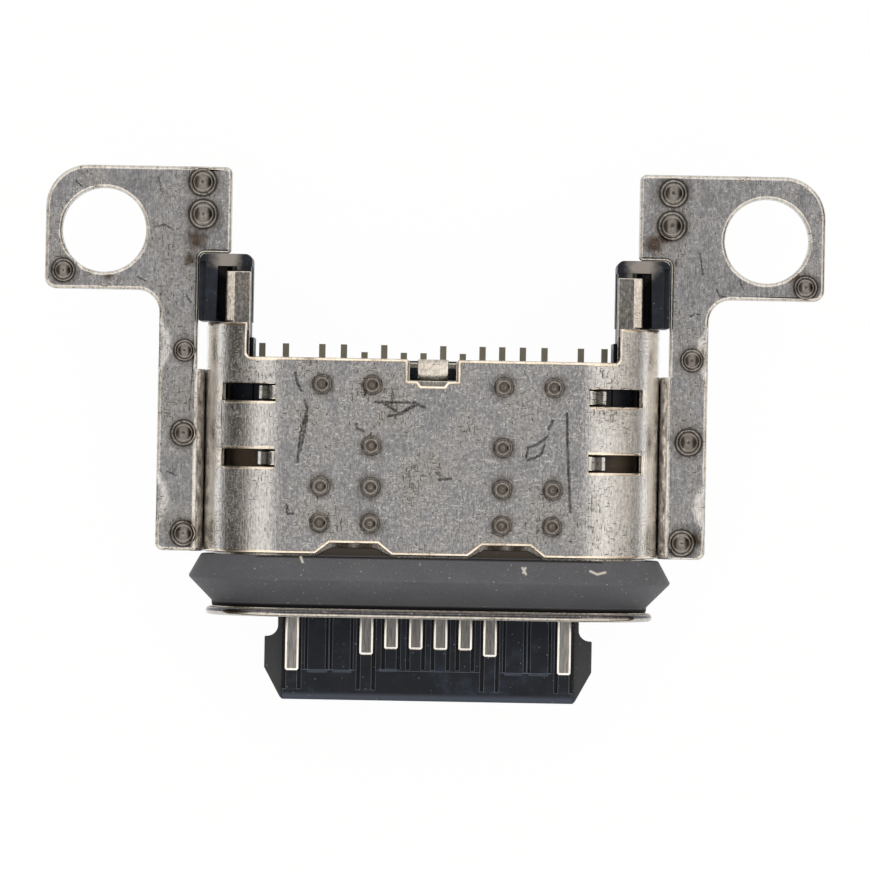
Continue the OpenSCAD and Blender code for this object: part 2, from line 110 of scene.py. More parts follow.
def linear(code: str) -> tuple[float, float, float, float]:
    """Turns an sRGB hex colour into a linear one.

    Args:
        code: Colour as "#rrggbb".

    Returns:
        Linear red, green, blue and an alpha of 1.
    """
    parts = [int(code[i:i + 2], 16) / 255 for i in (1, 3, 5)]
    low = [c / 12.92 if c <= 0.04045 else ((c + 0.055) / 1.055) ** 2.4 for c in parts]
    return (low[0], low[1], low[2], 1.0)


def add(tree: bpy.types.NodeTree, kind: str, links: Optional[dict[Any, Any]] = None, out: Any = 0,
        **settings: Any) -> Optional[Socket]:
    """Adds a shader node with its settings, and links or sets its inputs.

    Args:
        tree: Node tree that gets the node.
        kind: Type name of the node without its first word.
        links: Input name or number to a socket, which is linked, or to a value, which is set.
        out: Name or number of the output that is handed back.
        **settings: Properties of the node.

    Returns:
        The output, or None for a node that has none.
    """
    node = tree.nodes.new("ShaderNode" + kind)
    for key, value in settings.items():
        setattr(node, key, value)
    for key, value in (links or {}).items():
        if isinstance(value, bpy.types.NodeSocket):
            tree.links.new(value, node.inputs[key])
        else:
            node.inputs[key].default_value = value
    return node.outputs[out] if len(node.outputs) else None


class Ground:
    """Ground of one procedural material, with Object coordinates in millimetres to draw its patterns on."""

    def __init__(self, name: str) -> None:
        """Starts an empty material.

        Args:
            name: Name of the material.
        """
        self.material = bpy.data.materials.new(name)
        self.material.use_nodes = True
        self.tree = self.material.node_tree
        self.tree.nodes.clear()
        metres = add(self.tree, "TexCoord", out="Object")
        self.place = add(self.tree, "VectorMath", {0: metres, 1: (1 / MM, 1 / MM, 1 / MM)}, operation="MULTIPLY")
        self.plan = add(self.tree, "VectorMath", {0: self.place, 1: (1, 1, 0)}, operation="MULTIPLY")

    def lumps(self, size: tuple[float, float, float], detail: float, seed: float) -> Socket:
        """Cloudy pattern whose lumps have a real size.

        Args:
            size: Lump size in mm along X, Y and Z.
            detail: Number of finer octaves.
            seed: Shift of the pattern.

        Returns:
            A value of about 0.5 on average.
        """
        at = add(self.tree, "Mapping", {"Vector": self.place, "Location": (seed, seed * 0.7, seed * 1.3),
                                        "Scale": tuple(1 / s for s in size)})
        return add(self.tree, "TexNoise", {"Vector": at, "Scale": 1.0, "Detail": detail, "Roughness": 0.6})

    def near_spots(self, spots: tuple[Spot, ...]) -> Socket:
        """Distance to the nearest of several round spots, seen from above.

        Args:
            spots: X, Y and diameter of each spot in mm.

        Returns:
            The distance as a share of that spot's diameter.
        """
        best: Any = FAR
        for x, y, size in spots:
            gap = add(self.tree, "VectorMath", {0: self.plan, 1: (x, y, 0)}, out=1, operation="DISTANCE")
            share = add(self.tree, "Math", {0: gap, 1: size}, operation="DIVIDE")
            best = add(self.tree, "Math", {0: share, 1: best}, operation="MINIMUM")
        return best

    def near_strokes(self, strokes: tuple[Stroke, ...]) -> Socket:
        """Distance to the nearest of several scratches, seen from above.

        Args:
            strokes: Scratches, each a run of points in mm.

        Returns:
            The distance in mm.
        """
        best: Any = FAR
        for a, b in (pair for stroke in strokes for pair in zip(stroke, stroke[1:])):
            start = Vector((*a, 0))
            run = Vector((*b, 0)) - start
            off = add(self.tree, "VectorMath", {0: self.plan, 1: start}, operation="SUBTRACT")
            share = add(self.tree, "VectorMath", {0: off, 1: run / run.length_squared}, out=1, operation="DOT_PRODUCT")
            held = add(self.tree, "Math", {0: share, 1: 0.0}, operation="ADD", use_clamp=True)
            foot = add(self.tree, "VectorMath", {0: run, 3: held}, operation="SCALE")
            gap = add(self.tree, "VectorMath", {0: off, 1: foot}, out=1, operation="DISTANCE")
            best = add(self.tree, "Math", {0: gap, 1: best}, operation="MINIMUM")
        return best

    def looks_up(self) -> Socket:
        """Tells faces that look up from the others.

        Returns:
            One on faces that look up, zero on the others.
        """
        normal = add(self.tree, "NewGeometry", out="True Normal")
        height = add(self.tree, "SeparateXYZ", {0: normal}, out=2)
        return add(self.tree, "Math", {0: height, 1: 0.5}, operation="GREATER_THAN")

    def close(self, height: Socket, depth: float, **inputs: Any) -> bpy.types.Material:
        """Closes the material with one shader and its fine relief.

        Args:
            height: Relief from 0 to 1.
            depth: Depth of the relief in mm.
            **inputs: Shader inputs, with a low line for each space in the name.

        Returns:
            The material.
        """
        relief = add(self.tree, "Bump", {"Strength": 1.0, "Distance": depth * MM, "Height": height})
        named = {key.replace("_", " "): value for key, value in inputs.items()}
        shader = add(self.tree, "BsdfPrincipled", {**named, "Normal": relief})
        add(self.tree, "OutputMaterial", {"Surface": shader})
        return self.material


@dataclass(frozen=True)
class SheetSteel:
    """Stainless sheet, rolled and stamped: grey, with a fine grain along Y, dark pits, tarnish and handling marks, and
    painted shade and highlights where a piece asks for them.
    """

    name: str
    bright: str = "#dcdcdd"
    dull: str = "#b4b4b5"
    tarnish: str = "#7b6a55"
    pit: str = "#2e2a26"
    painted_glint: str = "#f1f1ee"
    painted_sheen: str = "#fffaf3"
    lip_highlight: str = "#fff8ec"
    dirt: str = "#2d241b"
    shadow: str = "#2b2622"
    char: str = "#2a221b"
    stain: str = "#7a5f43"
    rough: float = 0.26
    relief: float = 0.0080
    tarnish_share: float = 0.20
    pits: float = 0.75
    soot: float = 0.60
    painted_side_shade: float = 0.0
    # Share of the painted highlight in that side band.
    rubbed: float = 1.0
    flocks: Point = (0.84, 0.93)  # Where scuffs begin and are full, on the scale of their pattern.
    crumbs: Point = (0.52, 0.64)  # The same for dirt.
    nick: Point = (0.044, 0.080)  # Half width of a scratch in mm, without and with its soft edge.
    rings: tuple[Point, ...] = ((0.535, 0.65),)  # Radius, by the spot's diameter, and share of each dark outline.
    grime: Optional[Point] = None  # Distances from the middle, in mm, between which dirt grows to its full share.
    polish_and_highlight: Optional[Point] = None  # The same for the side band that is made smoother and painted lighter as a highlight.
    sunk: Optional[Spot] = None  # Spine, axis and radius, in mm, of the face below which shade is painted.
    sunk_band: Point = (0.10, 0.04)
    lance_tip: float = 3.46
    ear_line: float = -1.6
    highlight_lips: tuple[Spot, ...] = ()
    spots: tuple[Spot, ...] = ()
    stains: tuple[Spot, ...] = ()
    strokes: tuple[Stroke, ...] = ()

    def material(self) -> bpy.types.Material:
        """Builds the material: grain and pits catch light and dark in turn, so that a flat face looks speckled; small
        glints are painted in as highlights.

        Returns:
            The material.
        """
        g = Ground(self.name)
        t = g.tree
        # Rolling lines are some 0.005 mm wide; they are drawn 0.025 mm wide, so that they show.
        hair = g.lumps((0.025, 0.55, 0.025), 2.0, 3.0)
        mottle = g.lumps((0.055, 0.09, 0.055), 4.0, 11.0)
        cloud = g.lumps((0.9, 1.3, 0.9), 3.0, 23.0)
        part = add(t, "Math", {0: hair, 1: 0.3}, operation="MULTIPLY")
        tone = add(t, "Math", {0: mottle, 1: 0.7, 2: part}, operation="MULTIPLY_ADD")
        share = add(t, "MapRange", {0: tone, 1: 0.34, 2: 0.66}, **SMOOTH)
        colour = add(t, "Mix", {0: share, 6: linear(self.dull), 7: linear(self.bright)}, **COLOUR)
        age = add(t, "MapRange", {0: cloud, 1: 0.48, 2: 0.72, 4: self.tarnish_share}, **SMOOTH)
        colour = add(t, "Mix", {0: age, 6: colour, 7: linear(self.tarnish)}, **COLOUR)
        # Scuffs run along and across the sheet and come in flocks, where the slow pattern is high.
        along = g.lumps((0.030, 0.16, 0.030), 2.0, 31.0)
        across = g.lumps((0.15, 0.026, 0.15), 2.0, 33.0)
        dash = add(t, "Math", {0: along, 1: across}, operation="MAXIMUM")
        dent = add(t, "Math", {0: cloud, 1: 0.40, 2: dash}, operation="MULTIPLY_ADD")
        low, high = self.flocks
        dent = add(t, "MapRange", {0: dent, 1: low, 2: high, 4: self.pits}, **SMOOTH)
        colour = add(t, "Mix", {0: dent, 6: colour, 7: linear(self.pit)}, **COLOUR)
        # Painted highlights: small flecks of near-white colour stand in for glints of light.
        painted_glint = g.lumps((0.04, 0.12, 0.04), 2.0, 37.0)
        painted_glint = add(t, "MapRange", {0: painted_glint, 1: 0.66, 2: 0.76, 4: 0.6}, **SMOOTH)
        colour = add(t, "Mix", {0: painted_glint, 6: colour, 7: linear(self.painted_glint)}, **COLOUR)
        height = add(t, "Math", {0: dent, 1: -0.9, 2: tone}, operation="MULTIPLY_ADD")
        rough = add(t, "Math", {0: mottle, 1: 0.10, 2: self.rough - 0.14}, operation="MULTIPLY_ADD")
        rough = add(t, "Math", {0: cloud, 1: 0.18, 2: rough}, operation="MULTIPLY_ADD")
        if self.spots:
            colour = self.heat(g, colour, cloud)
        if self.painted_side_shade:
            # Painted shade: faces of each dish that slope to the left or right are darkened, as the dim light from
            # those sides would leave them.
            slant = add(t, "SeparateXYZ", {0: add(t, "NewGeometry", out="Normal")})
            slant = add(t, "Math", {0: slant}, operation="ABSOLUTE")
            side_shade_share = add(t, "MapRange", {0: slant, 1: 0.20, 2: 0.45, 4: self.painted_side_shade}, **SMOOTH)
            colour = add(t, "Mix", {0: side_shade_share, 6: colour, 7: linear(self.pit)}, **COLOUR)
        if self.stains:
            ragged = g.lumps((0.22, 0.22, 0.22), 3.0, 41.0)
            reach = add(t, "Math", {0: ragged, 1: 0.6, 2: g.near_spots(self.stains)}, operation="MULTIPLY_ADD")
            brown = add(t, "MapRange", {0: reach, 1: 0.42, 2: 0.85, 3: 0.85, 4: 0.0}, **SMOOTH)
            colour = add(t, "Mix", {0: brown, 6: colour, 7: linear(self.stain)}, blend_type="MULTIPLY", **COLOUR)
        if self.polish_and_highlight:
            # Sides that slide past the frame are rubbed smooth, and painted lighter as a highlight where they catch the
            # light.
            smooth_and_lit = self.beside(g, self.polish_and_highlight)
            light = add(t, "Math", {0: smooth_and_lit, 1: self.rubbed}, operation="MULTIPLY")
            colour = add(t, "Mix", {0: light, 6: colour, 7: linear(self.painted_sheen)}, **COLOUR)
            rough = add(t, "Mix", {0: smooth_and_lit, 2: rough, 3: 0.10})
        if self.sunk:
            colour = self.shade(g, colour)
        if self.highlight_lips:
            # A painted highlight lies at the outer end of each window, where the end wall of the cut catches the light.
            lip = add(t, "MapRange", {0: g.near_spots(self.highlight_lips), 1: 0.42, 2: 0.54, 3: 0.9, 4: 0.0}, **SMOOTH)
            colour = add(t, "Mix", {0: lip, 6: colour, 7: linear(self.lip_highlight)}, **COLOUR)
        metal: Any = 1.0
        if self.grime:
            # Dirt that has caught in the seam is crumbly, and no metal.
            low, high = self.crumbs
            crumbs = g.lumps((0.09, 0.20, 0.09), 4.0, 61.0)
            crumbs = add(t, "MapRange", {0: crumbs, 1: low, 2: high, 4: 0.9}, **SMOOTH)
            crumbs = add(t, "Math", {0: crumbs, 1: self.beside(g, self.grime)}, operation="MULTIPLY")
            colour = add(t, "Mix", {0: crumbs, 6: colour, 7: linear(self.dirt)}, **COLOUR)
            metal = add(t, "Math", {0: 1.0, 1: crumbs}, operation="SUBTRACT")
        if self.strokes:
            low, high = self.nick
            ragged = g.lumps((0.05, 0.05, 0.05), 2.0, 53.0)
            gap = add(t, "Math", {0: ragged, 1: 0.07, 2: g.near_strokes(self.strokes)}, operation="MULTIPLY_ADD")
            cut = add(t, "MapRange", {0: gap, 1: low, 2: high, 3: 0.92, 4: 0.0}, **SMOOTH)
            broken = add(t, "MapRange", {0: mottle, 1: 0.38, 2: 0.60, 3: 0.55, 4: 1.0}, **SMOOTH)
            cut = add(t, "Math", {0: cut, 1: broken}, operation="MULTIPLY")
            cut = add(t, "Math", {0: cut, 1: g.looks_up()}, operation="MULTIPLY")
            colour = add(t, "Mix", {0: cut, 6: colour, 7: linear(self.pit)}, **COLOUR)
        return g.close(height, self.relief, Base_Color=colour, Metallic=metal, Roughness=rough)

    def beside(self, g: Ground, band: Point) -> Socket:
        """Share of a band along the two sides of the shell.

        Args:
            g: Ground of the material.
            band: Distance from the middle, in mm, at which the share is 0 and at which it is 1.

        Returns:
            The share, which is 0 at the ears.
        """
        parts = add(g.tree, "SeparateXYZ", {0: g.place}).node.outputs
        wide = add(g.tree, "Math", {0: parts[0]}, operation="ABSOLUTE")
        share = add(g.tree, "MapRange", {0: wide, 1: band[0], 2: band[1]}, **SMOOTH)
        ahead = add(g.tree, "Math", {0: parts[1], 1: self.ear_line}, operation="LESS_THAN")
        return add(g.tree, "Math", {0: share, 1: ahead}, operation="MULTIPLY")

    def shade(self, g: Ground, colour: Socket) -> Socket:
        """Paints shade on what lies below the face of the shell, but leaves the tips of its bent tongues unshaded.

        Args:
            g: Ground of the material.
            colour: Colour of the sheet.

        Returns:
            The darkened colour.
        """
        t = g.tree
        spine, axis, radius = self.sunk
        low, high = (radius - depth for depth in self.sunk_band)
        parts = add(t, "SeparateXYZ", {0: g.place}).node.outputs
        wide = add(t, "Math", {0: parts[0]}, operation="ABSOLUTE")
        past = add(t, "Math", {0: wide, 1: spine}, operation="SUBTRACT")
        past = add(t, "Math", {0: past, 1: 0.0}, operation="MAXIMUM")
        rise = add(t, "Math", {0: parts[2], 1: axis}, operation="SUBTRACT")
        off = add(t, "CombineXYZ", {0: past, 2: rise})
        off = add(t, "VectorMath", {0: off}, out=1, operation="LENGTH")
        # Painted shade grows with the depth below the face.
        deep_shade = add(t, "MapRange", {0: off, 1: low, 2: high, 3: 0.85, 4: 0.0}, **SMOOTH)
        tip = add(t, "Math", {0: wide, 1: self.lance_tip}, operation="SUBTRACT")
        tip = add(t, "Math", {0: tip}, operation="ABSOLUTE")
        tip = add(t, "MapRange", {0: tip, 1: 0.025, 2: 0.050})
        deep_shade = add(t, "Math", {0: deep_shade, 1: tip}, operation="MULTIPLY")
        return add(t, "Mix", {0: deep_shade, 6: colour, 7: linear(self.shadow)}, **COLOUR)

    def heat(self, g: Ground, colour: Socket, cloud: Socket) -> Socket:
        """Stains the sheet round its weld spots: a brown bloom, a dark outline and a sooty heart, left lighter in its
        middle as a painted highlight.

        Args:
            g: Ground of the material.
            colour: Colour of the sheet.
            cloud: Slow pattern that makes the bloom uneven.

        Returns:
            The stained colour.
        """
        t = g.tree
        near = g.near_spots(self.spots)
        far = add(t, "Math", {0: cloud, 1: 0.5, 2: near}, operation="MULTIPLY_ADD")
        bloom = add(t, "MapRange", {0: far, 1: 0.72, 2: 1.20, 3: 0.55, 4: 0.0}, **SMOOTH)
        colour = add(t, "Mix", {0: bloom, 6: colour, 7: linear(self.tarnish)}, blend_type="MULTIPLY", **COLOUR)
        heart = add(t, "MapRange", {0: near, 1: 0.27, 2: 0.38, 3: self.soot, 4: 0.0}, **SMOOTH)
        # The middle of each heart is left lighter: a painted highlight.
        pip_highlight = add(t, "MapRange", {0: near, 1: 0.04, 2: 0.16, 3: 0.30, 4: 1.0}, **SMOOTH)
        heart = add(t, "Math", {0: heart, 1: pip_highlight}, operation="MULTIPLY")
        colour = add(t, "Mix", {0: heart, 6: colour, 7: linear(self.char)}, **COLOUR)
        for reach, share in self.rings:
            ring = add(t, "Math", {0: near, 1: reach}, operation="SUBTRACT")
            ring = add(t, "Math", {0: ring}, operation="ABSOLUTE")
            ring = add(t, "MapRange", {0: ring, 1: 0.01, 2: 0.08, 3: share, 4: 0.0}, **SMOOTH)
            colour = add(t, "Mix", {0: ring, 6: colour, 7: linear(self.pit)}, **COLOUR)
        return colour


@dataclass(frozen=True)
class MouldedRubber:
    """Moulded silicone rubber: dark grey and dull, with grey dust and a few scuffs."""

    name: str
    base: str = "#575960"
    pale: str = "#63656b"
    dark: str = "#3a3b40"
    dust: str = "#b5b3ab"
    scuff: str = "#d8d6cf"
    # Bands along Y, in mm, that are darkened with painted shade, with their tints.
    front: tuple[Point, str] = ((-7.46, -6.98), "#34363b")
    groove: tuple[Point, str] = ((-7.50, -7.44), "#0d0c0d")
    heel: tuple[Point, str] = ((-6.555, -6.520), "#141214")
    lugs: tuple[Point, str] = ((-6.49, -6.46), "#33291f")
    crown: float = 1.72
    scuffs: tuple[Stroke, ...] = ()

    def material(self) -> bpy.types.Material:
        """Builds the material: a dull skin with pale specks of dust, with painted shade down in the groove, on the
        front slope, at the heel and on the lugs.

        Returns:
            The material.
        """
        g = Ground(self.name)
        t = g.tree
        cloud = g.lumps((0.8, 0.5, 0.8), 3.0, 5.0)
        fine = g.lumps((0.035, 0.035, 0.035), 2.0, 7.0)
        specks = g.lumps((0.055, 0.055, 0.055), 1.0, 17.0)
        specks = add(t, "MapRange", {0: specks, 1: 0.71, 2: 0.77, 4: 0.75}, **SMOOTH)
        pale = add(t, "MapRange", {0: cloud, 1: 0.35, 2: 0.7, 4: 0.45}, **SMOOTH)
        colour = add(t, "Mix", {0: pale, 6: linear(self.base), 7: linear(self.pale)}, **COLOUR)
        dark = add(t, "MapRange", {0: fine, 1: 0.35, 2: 0.7, 4: 0.30}, **SMOOTH)
        colour = add(t, "Mix", {0: dark, 6: colour, 7: linear(self.dark)}, **COLOUR)
        colour = add(t, "Mix", {0: specks, 6: colour, 7: linear(self.dust)}, **COLOUR)
        depth = add(t, "SeparateXYZ", {0: g.place}, out=1)
        # Painted shade on the front slope, which faces away from most of the light.
        (low, high), tint = self.front
        dim = add(t, "MapRange", {0: depth, 1: low, 2: high, 3: 0.45, 4: 0.0}, **SMOOTH)
        colour = add(t, "Mix", {0: dim, 6: colour, 7: linear(tint)}, **COLOUR)
        # Painted shade down in the narrow groove by the flange, with less shine there.
        (low, high), tint = self.groove
        grime = add(t, "MapRange", {0: depth, 1: low, 2: high, 3: 0.95, 4: 0.0}, **SMOOTH)
        shine = add(t, "MapRange", {0: depth, 1: low, 2: high, 3: 0.05, 4: 0.35})
        colour = add(t, "Mix", {0: grime, 6: colour, 7: linear(tint)}, **COLOUR)
        # Painted shade at the heel, in the narrow gap by the shell's front edge, on the upper side only.
        (low, high), tint = self.heel
        grime = add(t, "MapRange", {0: depth, 1: low, 2: high, 4: 0.95}, **SMOOTH)
        level = add(t, "SeparateXYZ", {0: g.place}, out=2)
        above = add(t, "Math", {0: level, 1: self.crown}, operation="GREATER_THAN")
        grime = add(t, "Math", {0: grime, 1: above}, operation="MULTIPLY")
        colour = add(t, "Mix", {0: grime, 6: colour, 7: linear(tint)}, **COLOUR)
        # Painted shade on the lugs, in the gaps of the shell's notches.
        (low, high), tint = self.lugs
        lug = add(t, "MapRange", {0: depth, 1: low, 2: high, 4: 0.9}, **SMOOTH)
        colour = add(t, "Mix", {0: lug, 6: colour, 7: linear(tint)}, **COLOUR)
        if self.scuffs:
            mark = g.near_strokes(self.scuffs)
            mark = add(t, "MapRange", {0: mark, 1: 0.010, 2: 0.035, 3: 0.8, 4: 0.0}, **SMOOTH)
            mark = add(t, "Math", {0: mark, 1: g.looks_up()}, operation="MULTIPLY")
            colour = add(t, "Mix", {0: mark, 6: colour, 7: linear(self.scuff)}, **COLOUR)
        return g.close(fine, 0.003, Base_Color=colour, Roughness=0.62, Specular_IOR_Level=shine)


@dataclass(frozen=True)
class MouldedPlastic:
    """Glass-filled black plastic from a fine matt mould: blue-black, paler on the rails, with dust and rubbed edges,
    painted shade in the slots and painted highlights at the tip and the pads' ends.
    """

    name: str
    base: str = "#121822"
    worn: str = "#2e394b"
    rail: str = "#424648"
    slot: str = "#040508"
    tip: str = "#3d4656"
    dust: str = "#9a9592"
    silt: str = "#5f5344"
    step_highlight: str = "#4b5364"
    speck: str = "#8d9096"
    rail_line: float = 2.95
    tongue_line: float = -6.5
    tip_band: Point = (-9.34, -9.26)
    slot_band: Point = (0.285, 0.315)
    axis: float = 0.10
    posts: tuple[Spot, ...] = ((4.20, -0.58, 0.70), (-4.20, -0.58, 0.70))
    windows: tuple[Spot, ...] = ((3.8, -4.55, 0.9), (-3.8, -4.55, 0.9))
    lit_step_lines: tuple[Stroke, ...] = (
        ((-2.42, -8.84), (-2.06, -8.84)), ((-1.90, -8.84), (-1.57, -8.84)), ((-0.96, -8.80), (-0.64, -8.80)),
        ((1.57, -8.84), (1.90, -8.84)), ((2.06, -8.84), (2.42, -8.84)))

    def material(self) -> bpy.types.Material:
        """Builds the material: a fine matt skin with cloudy handling marks.

        Returns:
            The material.
        """
        g = Ground(self.name)
        t = g.tree
        cloud = g.lumps((0.45, 0.45, 0.45), 4.0, 2.0)
        fine = g.lumps((0.030, 0.030, 0.030), 2.0, 9.0)
        specks = g.lumps((0.05, 0.05, 0.05), 1.0, 29.0)
        specks = add(t, "MapRange", {0: specks, 1: 0.72, 2: 0.78, 4: 0.6}, **SMOOTH)
        rubbed = add(t, "MapRange", {0: cloud, 1: 0.50, 2: 0.78, 4: 0.6}, **SMOOTH)
        colour = add(t, "Mix", {0: rubbed, 6: linear(self.base), 7: linear(self.worn)}, **COLOUR)
        parts = add(t, "SeparateXYZ", {0: g.place}).node.outputs
        wide = add(t, "Math", {0: parts[0]}, operation="ABSOLUTE")
        ahead = add(t, "Math", {0: parts[1], 1: self.tongue_line}, operation="LESS_THAN")
        # The slots beside the contacts are darkened with painted shade.
        height = add(t, "Math", {0: parts[2], 1: self.axis}, operation="SUBTRACT")
        height = add(t, "Math", {0: height}, operation="ABSOLUTE")
        low, high = self.slot_band
        deep_shade = add(t, "MapRange", {0: height, 1: low, 2: high, 3: 0.85, 4: 0.0})
        deep_shade = add(t, "Math", {0: deep_shade, 1: ahead}, operation="MULTIPLY")
        colour = add(t, "Mix", {0: deep_shade, 6: colour, 7: linear(self.slot)}, **COLOUR)
        edge = add(t, "MapRange", {0: wide, 1: self.rail_line - 0.01, 2: self.rail_line + 0.01, 4: 0.8})
        flank = add(t, "Math", {0: edge, 1: ahead}, operation="MULTIPLY")
        colour = add(t, "Mix", {0: flank, 6: colour, 7: linear(self.rail)}, **COLOUR)
        # Painted highlight: a paler band on the bevel of the tip.
        low, high = self.tip_band
        tip = add(t, "MapRange", {0: parts[1], 1: low, 2: high, 3: 0.9, 4: 0.0})
        colour = add(t, "Mix", {0: tip, 6: colour, 7: linear(self.tip)}, **COLOUR)
        near = add(t, "Math", {0: cloud, 1: 0.8, 2: g.near_spots(self.posts)}, operation="MULTIPLY_ADD")
        dusty = add(t, "MapRange", {0: near, 1: 0.55, 2: 0.95, 3: 0.82, 4: 0.0}, **SMOOTH)
        dusty = add(t, "Math", {0: dusty, 1: g.looks_up()}, operation="MULTIPLY")
        colour = add(t, "Mix", {0: dusty, 6: colour, 7: linear(self.dust)}, **COLOUR)
        near = add(t, "Math", {0: cloud, 1: 0.8, 2: g.near_spots(self.windows)}, operation="MULTIPLY_ADD")
        dusty = add(t, "MapRange", {0: near, 1: 0.55, 2: 1.0, 3: 0.8, 4: 0.0}, **SMOOTH)
        colour = add(t, "Mix", {0: dusty, 6: colour, 7: linear(self.silt)}, **COLOUR)
        # Painted highlights: pale lines at the front ends of the pads between the contacts.
        gap = add(t, "Math", {0: cloud, 1: 0.06, 2: g.near_strokes(self.lit_step_lines)}, operation="MULTIPLY_ADD")
        step_highlight = add(t, "MapRange", {0: gap, 1: 0.035, 2: 0.075, 3: 0.7, 4: 0.0}, **SMOOTH)
        step_highlight = add(t, "Math", {0: step_highlight, 1: g.looks_up()}, operation="MULTIPLY")
        colour = add(t, "Mix", {0: step_highlight, 6: colour, 7: linear(self.step_highlight)}, **COLOUR)
        colour = add(t, "Mix", {0: specks, 6: colour, 7: linear(self.speck)}, **COLOUR)
        rough = add(t, "MapRange", {0: cloud, 1: 0.3, 2: 0.7, 3: 0.34, 4: 0.48})
        return g.close(fine, 0.0025, Base_Color=colour, Roughness=rough, Specular_IOR_Level=0.28)


@dataclass(frozen=True)
class PlatedContact:
    """Copper alloy under a worn silver-grey plating: satin on the face, polished on the coined edges, which are also
    painted lighter as a highlight.
    """

    name: str
    face: str = "#d2d0cb"
    dull: str = "#969594"
    tail: str = "#a49e8e"
    tail_band: Point = (-3.0, -2.3)
    rough: float = 0.30

    def material(self) -> bpy.types.Material:
        """Builds the material: wiped along Y by the plug, and dark with tarnish at the tails.

        Returns:
            The material.
        """
        g = Ground(self.name)
        t = g.tree
        # Wiping marks are some 0.003 mm wide; they are drawn 0.02 mm wide, so that they show.
        wipe = g.lumps((0.020, 0.30, 0.020), 3.0, 13.0)
        fine = g.lumps((0.06, 0.06, 0.06), 3.0, 19.0)
        shine = add(t, "MapRange", {0: wipe, 1: 0.3, 2: 0.7}, **SMOOTH)
        colour = add(t, "Mix", {0: shine, 6: linear(self.dull), 7: linear(self.face)}, **COLOUR)
        depth = add(t, "SeparateXYZ", {0: g.place}, out=1)
        uneven = add(t, "Math", {0: fine, 1: 0.5, 2: depth}, operation="MULTIPLY_ADD")
        low, high = self.tail_band
        brown = add(t, "MapRange", {0: uneven, 1: low, 2: high}, **SMOOTH)
        colour = add(t, "Mix", {0: brown, 6: colour, 7: linear(self.tail)}, **COLOUR)
        return g.close(wipe, 0.002, Base_Color=colour, Metallic=1.0, Roughness=self.rough)


